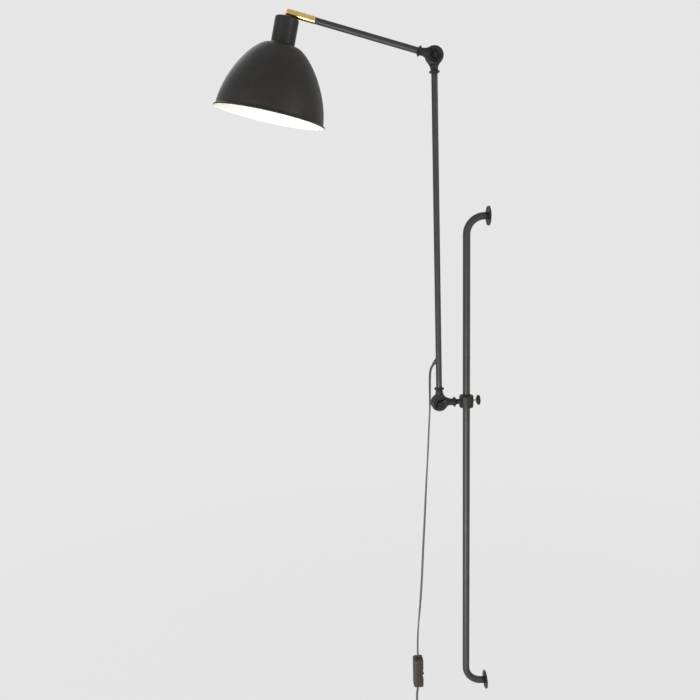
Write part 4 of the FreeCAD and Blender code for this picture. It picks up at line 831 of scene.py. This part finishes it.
def tongue_field(x, y, z):
    """Eye, web and shoulder over the nipple, with a channel on the wall side for the lead."""
    eye = join(np.hypot(y, z) - eye_radius, meet(np.abs(y) - eye_radius, np.maximum(z, seat_z - z)))
    eye = meet(eye, np.abs(x) - eye_half, 0.5)
    r, h = np.hypot(x, y), z - seat_z - collar_height / 2
    shoulder = meet(r - collar_wide, np.abs(h) - collar_height / 2, 0.3)
    nipple = meet(r - nipple_radius, np.maximum(h, nipple_end - z), 0.4)
    body = join(join(eye, shoulder, 0.6), nipple)
    body = meet(body, hinge_pin_radius + 0.05 - np.hypot(y, z), 0.3)
    channel = np.maximum(np.maximum(np.abs(x) - channel_half, -y),
                         np.maximum(z - channel_top, channel_foot - z))
    return meet(meet(body, -channel, 0.3), -np.maximum(r - lead_hole, z - lead_hole_top), 0.3)


moulded("shade_tongue_turned", tongue_field, (-collar_wide, -collar_wide, nipple_end),
        (collar_wide, collar_wide, eye_radius), 0.4, shade_lean, hinge_axis, "shade_head", "brass",
        ("hinge_tongue",), turned_brass)


# ---- shade ----
# One disc of steel spun to a straight neck and a full dome, its rim rolled outwards over a wire. Anthracite
# outside; the inside is sprayed in white stove enamel, which runs out over the roll's inner half.
shade_wall, neck_radius_out, neck_round, neck_foot = 1.2, 24.0, 3.0, 51.5
dome_from, dome_drop, shoulder_radius, rim_radius, roll_radius = 54.1, 192.0, 35.2, 112.0, 1.7
dome_radius, flare_height, fullness, roundness = 110.4, 7.0, 1.66, 0.737


def dome_line(steps=70):
    """From the cove to the rim: radius grows by 1 minus (1 - u) to the fullness, to the power roundness;
    the last millimetres flare out to the roll by the square of the height."""
    u = (1 - np.cos(np.linspace(0, math.pi, steps))) / 2
    radius = shoulder_radius + (dome_radius - shoulder_radius) * (1 - (1 - u) ** fullness) ** roundness
    depth = dome_from + u * (dome_drop - dome_from)
    flare = np.clip(1 - (dome_drop - depth) / flare_height, 0, 1) ** 2
    return np.c_[radius + flare * (rim_radius - dome_radius), -depth]


def shade_profile():
    """Outside from the nipple's hole over the neck and dome to the roll, round it, and back up inside, one
    wall thickness in. Returns the closed profile and the index at which the white begins."""
    n, e = neck_radius_out, neck_round
    top = np.radians(np.linspace(90, 0, 9))
    neck = np.r_[[(nipple_radius, 0), (n - e - 1, 0)], np.c_[n - e + e * np.cos(top), -e + e * np.sin(top)],
                 [(n, -14.0), (n, -30.0), (n, -neck_foot + 3.4)]]
    s = np.linspace(0, 1, 11)[:, None]
    a, b, c = np.array([n, -neck_foot + 3.0]), np.array([n, -neck_foot - 2.2]), np.array([34.0, -dome_from])
    cove = a * (1 - s) ** 2 + 2 * b * s * (1 - s) + c * s ** 2
    outside = np.r_[neck, cove[:-1], dome_line()]
    way = np.gradient(outside, axis=0)
    way /= np.linalg.norm(way, axis=1, keepdims=True)
    inside = (outside + np.c_[way[:, 1], -way[:, 0]] * shade_wall)
    inside = inside[(inside[:, 0] >= nipple_radius) | (inside[:, 1] < -1)]
    inside[0] = nipple_radius, -shade_wall
    rim = np.array([rim_radius + roll_radius - shade_wall, -dome_drop])
    a = np.radians(np.linspace(106, -180, 22))
    roll = rim + roll_radius * np.c_[np.cos(a), np.sin(a)]
    outside = outside[outside[:, 1] > roll[0, 1] + 0.3]
    inside = inside[inside[:, 1] > -dome_drop + 0.3]
    white_from = len(outside) + 14
    return np.r_[outside, roll, inside[::-1]], white_from


# White enamel: a warm white with a softer, glossier skin than the outside.
white_enamel = finish_of("white stove enamel", ("#F4F1E9", "#F8F6F0"), 14.0, 0.36, (1.2, 0.006), IOR=1.5)
profile, white_from = shade_profile()
shade_steps = 160
verts, faces = lathe(profile, shade_steps, ring=True)
shade = solid("spun_steel_shade", seated(verts + (0, 0, seat_z), shade_lean, hinge_axis), faces, "shade_head",
              "dark_enamel", ("shade_shell",), dark_enamel)
shade.data.materials.append(white_enamel)
row = np.arange(len(shade.data.polygons)) // shade_steps
white = (row >= white_from) & (row < len(profile) - 1)
shade.data.polygons.foreach_set("material_index", white.astype(np.int32))
dressed(zinc, "shade_nut")


# ---- lampholder ----
# Moulded thermoset holder screwed on the nipple: a domed cap, and a straight skirt with fine grip ribs.
holder_top, holder_mouth, cap_height = seat_z - 22.0, seat_z - 82.0, 16.0
holder_radius, holder_bore, mouth_radius = 20.5, 4.9, 14.3
holder_ribs, rib_depth = 44, 0.35

# Thermoset: dark brown and hard, with a clean shine.
thermoset = finish_of("moulded thermoset", ("#282421", "#302B27"), 9.0, 0.33, (1.1, 0.006), IOR=1.55)


def holder_ribs_round(angle, height, radius):
    """Fine ribs round the skirt's middle."""
    band = np.clip(holder_top - cap_height - 4.0 - height, 0, 1) * np.clip(height - holder_mouth - 8.0, 0, 1)
    return -rib_depth * band * (radius > holder_radius - 1) * (0.5 - 0.5 * np.cos(holder_ribs * angle))


turned("lampholder_moulding", [
    (holder_bore, holder_top + 4.0, 0.2), (9.3, holder_top + 4.0, 0.6), (9.3, holder_top, 1.0),
    (14.6, holder_top - 1.6, 3.0), (18.0, holder_top - 8.5, 4.0), (18.3, holder_top - cap_height + 0.8, 0.6),
    (holder_radius, holder_top - cap_height, 0.8), (holder_radius, holder_top - 21.0, 0),
    (holder_radius, holder_top - 22.0, 0), (holder_radius, holder_mouth + 9.0, 0),
    (holder_radius, holder_mouth + 8.0, 0), (holder_radius, holder_mouth, 1.0), (16.6, holder_mouth, 0.8),
    (mouth_radius, holder_mouth + 2.4, 0.4), (mouth_radius, holder_top - 22.0, 0.4),
    (holder_bore, holder_top - 22.0, 0.2),
], shade_lean, hinge_axis, "shade_head", "switch_plastic", ("lampholder",), thermoset, ring=True, steps=176,
    bend=holder_ribs_round)
dressed(turned_brass, "lampholder_screw_shell", "lampholder_contact")


# ---- bulb ----
# Pear-shaped bulb with an E27 cap, its glass frosted inside: milky, under a smooth glossy skin.
bulb_radius, bulb_tip, bulb_neck_radius, bulb_foot = 33.0, seat_z - 187.5, 15.0, holder_mouth - 2.0


def bulb_line():
    """Down the neck and out in one even curve onto the ball, then round it to the tip."""
    centre, meets = bulb_tip + bulb_radius, math.radians(32)
    a = np.array([bulb_neck_radius, bulb_foot])
    b = np.array([bulb_radius * math.cos(meets), centre + bulb_radius * math.sin(meets)])
    reach = 0.36 * np.linalg.norm(b - a)
    one, two = a + reach * np.array([0.02, -1]), b - reach * np.array([math.sin(meets), -math.cos(meets)])
    s = np.linspace(0, 1, 20)[:-1, None]
    neck = a * (1 - s) ** 3 + 3 * one * s * (1 - s) ** 2 + 3 * two * s ** 2 * (1 - s) + b * s ** 3
    ball = np.linspace(meets, -math.pi / 2, 34)
    ball = np.c_[bulb_radius * np.cos(ball), centre + bulb_radius * np.sin(ball)]
    ball[-1, 0] = 0
    return np.r_[[(0, bulb_foot)], neck, ball]


# Frosted glass: milky and even, under a thin clear gloss.
frosted = finish_of("frosted glass", ("#F0EEE7", "#F7F5EF"), 12.0, 0.3, IOR=1.5, Coat_Weight=0.8,
                    Coat_Roughness=0.05)
verts, faces = lathe(bulb_line(), 96)
solid("frosted_bulb", seated(verts, shade_lean, hinge_axis), faces, "shade_head", "bulb_frosted_glass",
      ("bulb_glass",), frosted)
# Rolled aluminium: bright, pale and a little cloudy.
aluminium = finish_of("rolled aluminium", ("#B6B6B3", "#CDCDCA"), 3.0, 0.3, (0.5, 0.005), Metallic=1.0)
dressed(aluminium, "bulb_cap")


# ---- cord bush and leads ----
# Soft moulded bush in the arm's slanted hole, grooved round its nose so that it bends with the cord; inside
# the arms the cord goes on as a thin twin lead, seen only where it crosses the shade's hinge.
bush_straight = arm_radius / math.sin(math.radians(bush_slope)) + 1.0
bush_radius, groove_depth, groove_pitch = 4.0, 0.28, 1.95

# Soft rubber: dull and dark, so that it barely shines.
soft_rubber = finish_of("moulded soft rubber", ("#282522", "#322E2B"), 4.0, 0.62, (0.6, 0.012), IOR=1.5)


def nose_grooves(angle, height, radius):
    """Three shallow grooves round the bush's nose."""
    nose = (height > bush_straight + 1.0) & (height < bush_mouth_reach - 1.2)
    wave = np.cos(2 * math.pi * (height - bush_straight - 1.0) / groove_pitch)
    return -groove_depth * nose * (0.5 - 0.5 * wave)


bush_rows = np.linspace(bush_straight + 0.6, bush_mouth_reach - 0.6, 42)
bush_cone = np.interp(bush_rows, [bush_straight, bush_mouth_reach], [bush_radius, 3.25])
bush_profile = np.r_[[(0, 5.0), (3.8, 5.0), (bush_radius, 5.3), (bush_radius, bush_straight)],
                     np.c_[bush_cone, bush_rows],
                     [(3.2, bush_mouth_reach - 0.3), (2.9, bush_mouth_reach), (0, bush_mouth_reach)]]
verts, faces = lathe(bush_profile, 48, bend=nose_grooves)
bush = solid("grooved_cord_bush", seated(verts, bush_lean, bush_crossing), faces, "lower_arm", "rubber",
             ("cord_bush",), soft_rubber)

lead_turn = math.radians(shade_lean)


def below_pin(y, z):
    """Place in the lamp's plane in the tongue's own directions, from the hinge pin."""
    return hinge_axis + (0, y * math.cos(lead_turn) - z * math.sin(lead_turn),
                         y * math.sin(lead_turn) + z * math.cos(lead_turn))


stud_point = upper_axis + along(upper_lean) * (body_from + 16.0)
lead_corners = [stud_point, upper_axis + along(upper_lean) * (slot_from + 0.4), below_pin(7.4, -5.4),
                below_pin(0, seat_z - 0.6), below_pin(0, nipple_end - 0.8)]


def eased(corners, steps=12):
    """Straight runs with each inner corner replaced by the even curve between its neighbours' middles."""
    corners = np.array(corners)
    middle = (corners[1:] + corners[:-1]) / 2
    s = np.linspace(0, 1, steps)[:, None]
    runs = [a * (1 - s) ** 2 + 2 * b * s * (1 - s) + c * s ** 2
            for a, b, c in zip(middle[:-1], corners[1:-1], middle[1:])]
    line = np.concatenate([corners[:1], *runs, corners[-1:]])
    return line[np.r_[True, np.linalg.norm(np.diff(line, axis=0), axis=1) > 0.05]]


lead_radius = 1.5
lead_rings = carried(eased(lead_corners), circle(lead_radius, 20))
hinge_lead = solid("hinge_lead_loop", *capped(lead_rings), None, "cord_sheath", ("hinge_lead",), pvc)
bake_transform(hinge_lead)
dressed(pvc, "cord_entry", "lower_arm_lead", "upper_arm_lead", "knuckle_lead")


# ---- in-line switch ----
# Two thermoset shells screwed together round the cord, the seam between them eased, and a rocker that stands
# in a shallow dip on the wall side.
switch_middle = np.array([cord_side, switch_y, switch_top - switch_length / 2])
switch_half = np.array([13.5, 11.3, 38.0])
switch_seam, switch_corner, dip_radius, dip_depth = 4.0, 9.0, 33.0, 2.3
well_half = (6.35, 9.0)
rocker_pivot, rocker_tilt, rocker_half_width = 5.6, 14.0, 6.0
cord_mouth, cord_mouth_depth = 2.75, 3.0
screw_at, screw_hole, screw_hole_floor = 29.0, 1.55, -9.2
screw_head_radius, screw_face, screw_back = 1.48, -10.5, -8.0
cross_half, cross_reach, cross_depth = 0.22, 1.0, 0.6

# The switch's thermoset: near black with a soft half gloss.
switch_shell = finish_of("moulded switch thermoset", ("#1D1916", "#27221E"), 7.0, 0.4, (0.9, 0.008), IOR=1.55,
                         Specular_IOR_Level=0.35)


def casing_field(x, y, z):
    """Slab with round corners, soft long edges, a dip for the finger and a mouth for the cord at each end."""
    u, w = np.abs(x) - switch_half[0] + switch_corner, np.abs(z) - switch_half[2] + switch_corner
    face = np.hypot(np.maximum(u, 0), np.maximum(w, 0)) + np.minimum(np.maximum(u, w), 0) - switch_corner
    body = meet(meet(face, -y - switch_half[1], 6.6), y - switch_half[1], 3.6)
    body = meet(body, dip_radius - np.hypot(y - switch_half[1] - dip_radius + dip_depth, z), 1.0)
    mouth = np.maximum(np.hypot(x, y) - cord_mouth, switch_half[2] - cord_mouth_depth - np.abs(z))
    return meet(body, -mouth, 0.5)


def rocker_side_field(x, y, z):
    """The shell with the rocker's well, on the wall side of the seam."""
    shell = meet(casing_field(x, y, z), switch_seam - y, 0.45)
    return meet(shell, -np.maximum(np.abs(x) - well_half[0], np.abs(z) - well_half[1]), 0.4)


def cord_side_field(x, y, z):
    """The shell that the screws go in from, up to the seam."""
    shell = meet(casing_field(x, y, z), y - switch_seam + 0.05, 0.45)
    for side in (-1, 1):
        hole = np.maximum(np.hypot(x, z - side * screw_at) - screw_hole, y - screw_hole_floor)
        shell = meet(shell, -hole, 0.4)
    return shell


def screw_field(x, y, z):
    """Countersunk screw end with a cross slot."""
    head = meet(np.hypot(x, z) - screw_head_radius, np.maximum(screw_face - y, y - screw_back), 0.25)
    u, w = np.abs(x), np.abs(z)
    cross = np.minimum(np.maximum(u - cross_half, w - cross_reach),
                       np.maximum(w - cross_half, u - cross_reach))
    return meet(head, -np.maximum(cross, y - screw_face - cross_depth), 0.1)


def rocker_field(x, y, z):
    """Bar with a shallow V on top, tilted about its pivot, on two stub pins."""
    a = math.radians(-rocker_tilt)
    v, w = y - rocker_pivot, z
    v, w = v * math.cos(a) - w * math.sin(a) + rocker_pivot, v * math.sin(a) + w * math.cos(a)
    half = [(3.2, -3.9), (9.0, -7.75), (11.6, -7.45), (12.3, -6.6), (10.6, -3.4)]
    side = outline_distance(v, w, [*half, (9.7, 0), *((a, -b) for a, b in half[::-1])])
    return meet(side, np.abs(x) - rocker_half_width, 1.0)


sx, sy, sz = switch_half
rocker_shell = moulded(
    "switch_rocker_side_shell", rocker_side_field, (-sx, switch_seam, -sz), (sx, sy, sz), 0.6, 0,
    switch_middle, "clamp", "switch_plastic", ("switch_front_shell",), switch_shell)
cord_shell = moulded(
    "switch_screw_side_shell", cord_side_field, (-sx, -sy, -sz), (sx, switch_seam, sz), 0.6, 0,
    switch_middle, "clamp", "switch_plastic", ("switch_back_shell",), switch_shell)
rocker = moulded(
    "switch_rocker_moulding", rocker_field, (-rocker_half_width, 2, -9), (rocker_half_width, 13.8, 9), 0.4, 0,
    switch_middle, "switch_rocker", "switch_plastic", ("switch_rocker",), switch_shell)
screws = [moulded(
    f"switch_screw_{name}", screw_field, (-1.5, screw_face, -1.5), (1.5, screw_back, 1.5), 0.12, 0,
    switch_middle + (0, 0, side * screw_at), "clamp", "steel", stands_for, zinc)
    for side, name, stands_for in ((1, "upper", ("switch_screws",)), (-1, "lower", ()))]


# ---- tie and plug ----
# The spare length is wound flat and held by one soft strap, and ends in a moulded flat plug with two round
# nickel-plated pins in half-length sleeves.
strap_gap, strap_thickness, strap_half_width = 0.35, 0.8, 3.0
tops = [coil_point(90.0 + 360.0 * k)[2] - coil_centre[2] for k in range(1, coil_turns + 1)]
around = cord_width / 2 + strap_gap
strap_low, strap_high = min(tops) - around, max(tops) + around
strap_middle = np.array([coil_pitch / 2, 0, (strap_low + strap_high) / 2])
strap_half = np.array([coil_pitch / 2 + around, (strap_high - strap_low) / 2])


def round_oblong(half, corner, steps=10):
    """Rectangle with quarter-circle corners, as points in order round it."""
    arcs = []
    for k, signs in enumerate(((1, 1), (-1, 1), (-1, -1), (1, -1))):
        a = np.radians(np.linspace(0, 90, steps) + 90 * k)
        arcs.append((half - corner) * signs + corner * np.c_[np.cos(a), np.sin(a)])
    return np.concatenate(arcs)


rows = []
strap_corner = 1.6
for extra, y in ((0, -1), (0, 1), (0.15, 1), (0.65, 1), (strap_thickness, 0.93), (strap_thickness, -0.93),
                 (0.65, -1), (0.15, -1)):
    ring = round_oblong(strap_half + extra, strap_corner + extra)
    rows.append(np.c_[ring[:, 0], np.full(len(ring), y * strap_half_width), ring[:, 1]])
strap = np.stack(rows) + strap_middle + coil_centre
tie = solid("coil_strap", strap.reshape(-1, 3), grid_faces(*strap.shape[:2], wrap_rows=True), "clamp",
            "switch_plastic", ("coil_tie",), soft_rubber)


# half widths down the plug, by height below the cord's entry: along Y, along X, and the section's power
plug_wide = ((0, 2.6), (0.7, 3.2), (13.2, 4.2), (14.4, 6.3), (22, 7.9), (27, 9.6), (32, 11.8), (36, 13),
             (47.6, 13), (48.6, 12.6), (49, 12.0))
plug_deep = ((0, 2.6), (0.7, 3.2), (13.2, 4.2), (14.4, 4.9), (22, 5.4), (36, 6.85), (47.6, 6.85), (48.6, 6.4),
             (49, 5.8))
plug_power = ((0, 2.0), (13.6, 2.0), (20, 2.6), (36, 3.4))
plug_length, relief_rib, relief_pitch, grip_rib, grip_pitch = 49.0, 0.45, 2.9, 0.5, 3.2


def plug_surface(steps=72):
    """Section by section down the plug: a superellipse that goes from a circle at the ribbed relief to a
    soft oblong at the face."""
    z = np.r_[0, np.linspace(0.01, 13.6, 52), 14.0, np.linspace(14.4, 36, 40), 46.5, 47.6, 48.3, 48.8,
              plug_length]
    wide, deep, power = (np.interp(z, *zip(*table)) for table in (plug_wide, plug_deep, plug_power))
    rib = relief_rib * ((z > 1.2) & (z < 12.8)) * (0.5 - 0.5 * np.cos(2 * math.pi * (z - 1.2) / relief_pitch))
    grip = grip_rib * ((z > 17) & (z < 33)) * (0.5 - 0.5 * np.cos(2 * math.pi * (z - 17) / grip_pitch))
    a = np.linspace(0, 2 * math.pi, steps, endpoint=False)
    c, s = np.cos(a)[None], np.sin(a)[None]
    r = (np.abs(c) ** power[:, None] + np.abs(s) ** power[:, None]) ** (-1 / power[:, None])
    side = np.clip(np.abs(s) * 1.6 - 0.5, 0, 1)
    x = r * c * (deep - rib)[:, None]
    y = r * s * ((wide - rib)[:, None] - grip[:, None] * side)
    return np.stack([x, y, np.broadcast_to(-z[:, None], x.shape)], -1)


plug = solid("flat_moulded_plug", *capped(plug_surface() + plug_point), "clamp", "switch_plastic",
             ("plug_body",), soft_rubber)
# Nickel plate: bright, with a warm tinge.
nickel = finish_of("nickel plate", ("#C6C1B6", "#D6D3CB"), 2.0, 0.2, Metallic=1.0)
pin_half_spacing, sleeve_end, pin_end = 9.3, -10.0, -19.0
for side, name in ((-1, "room"), (1, "wall")):
    pin_root = plug_point + (0, side * pin_half_spacing, -plug_length)
    turned(f"plug_pin_{name}_side", [
        (0, 2.0, 0), (1.85, 2.0, 0), (1.85, sleeve_end, 0), (2.0, sleeve_end - 0.05, 0.02), (2.0, -17.8, 0.5),
        (1.1, pin_end, 0.6), (0, pin_end, 0),
    ], 0, pin_root, "clamp", "plug_pin_plating", ("plug_pins",) if side == 1 else (), nickel, steps=36)
    turned(f"plug_pin_sleeve_{name}_side", [
        (1.86, 1.5, 0), (1.98, 1.5, 0), (1.98, sleeve_end, 0.1), (1.86, sleeve_end, 0),
    ], 0, pin_root, "clamp", "cord_sheath", (), pvc, ring=True, steps=36)
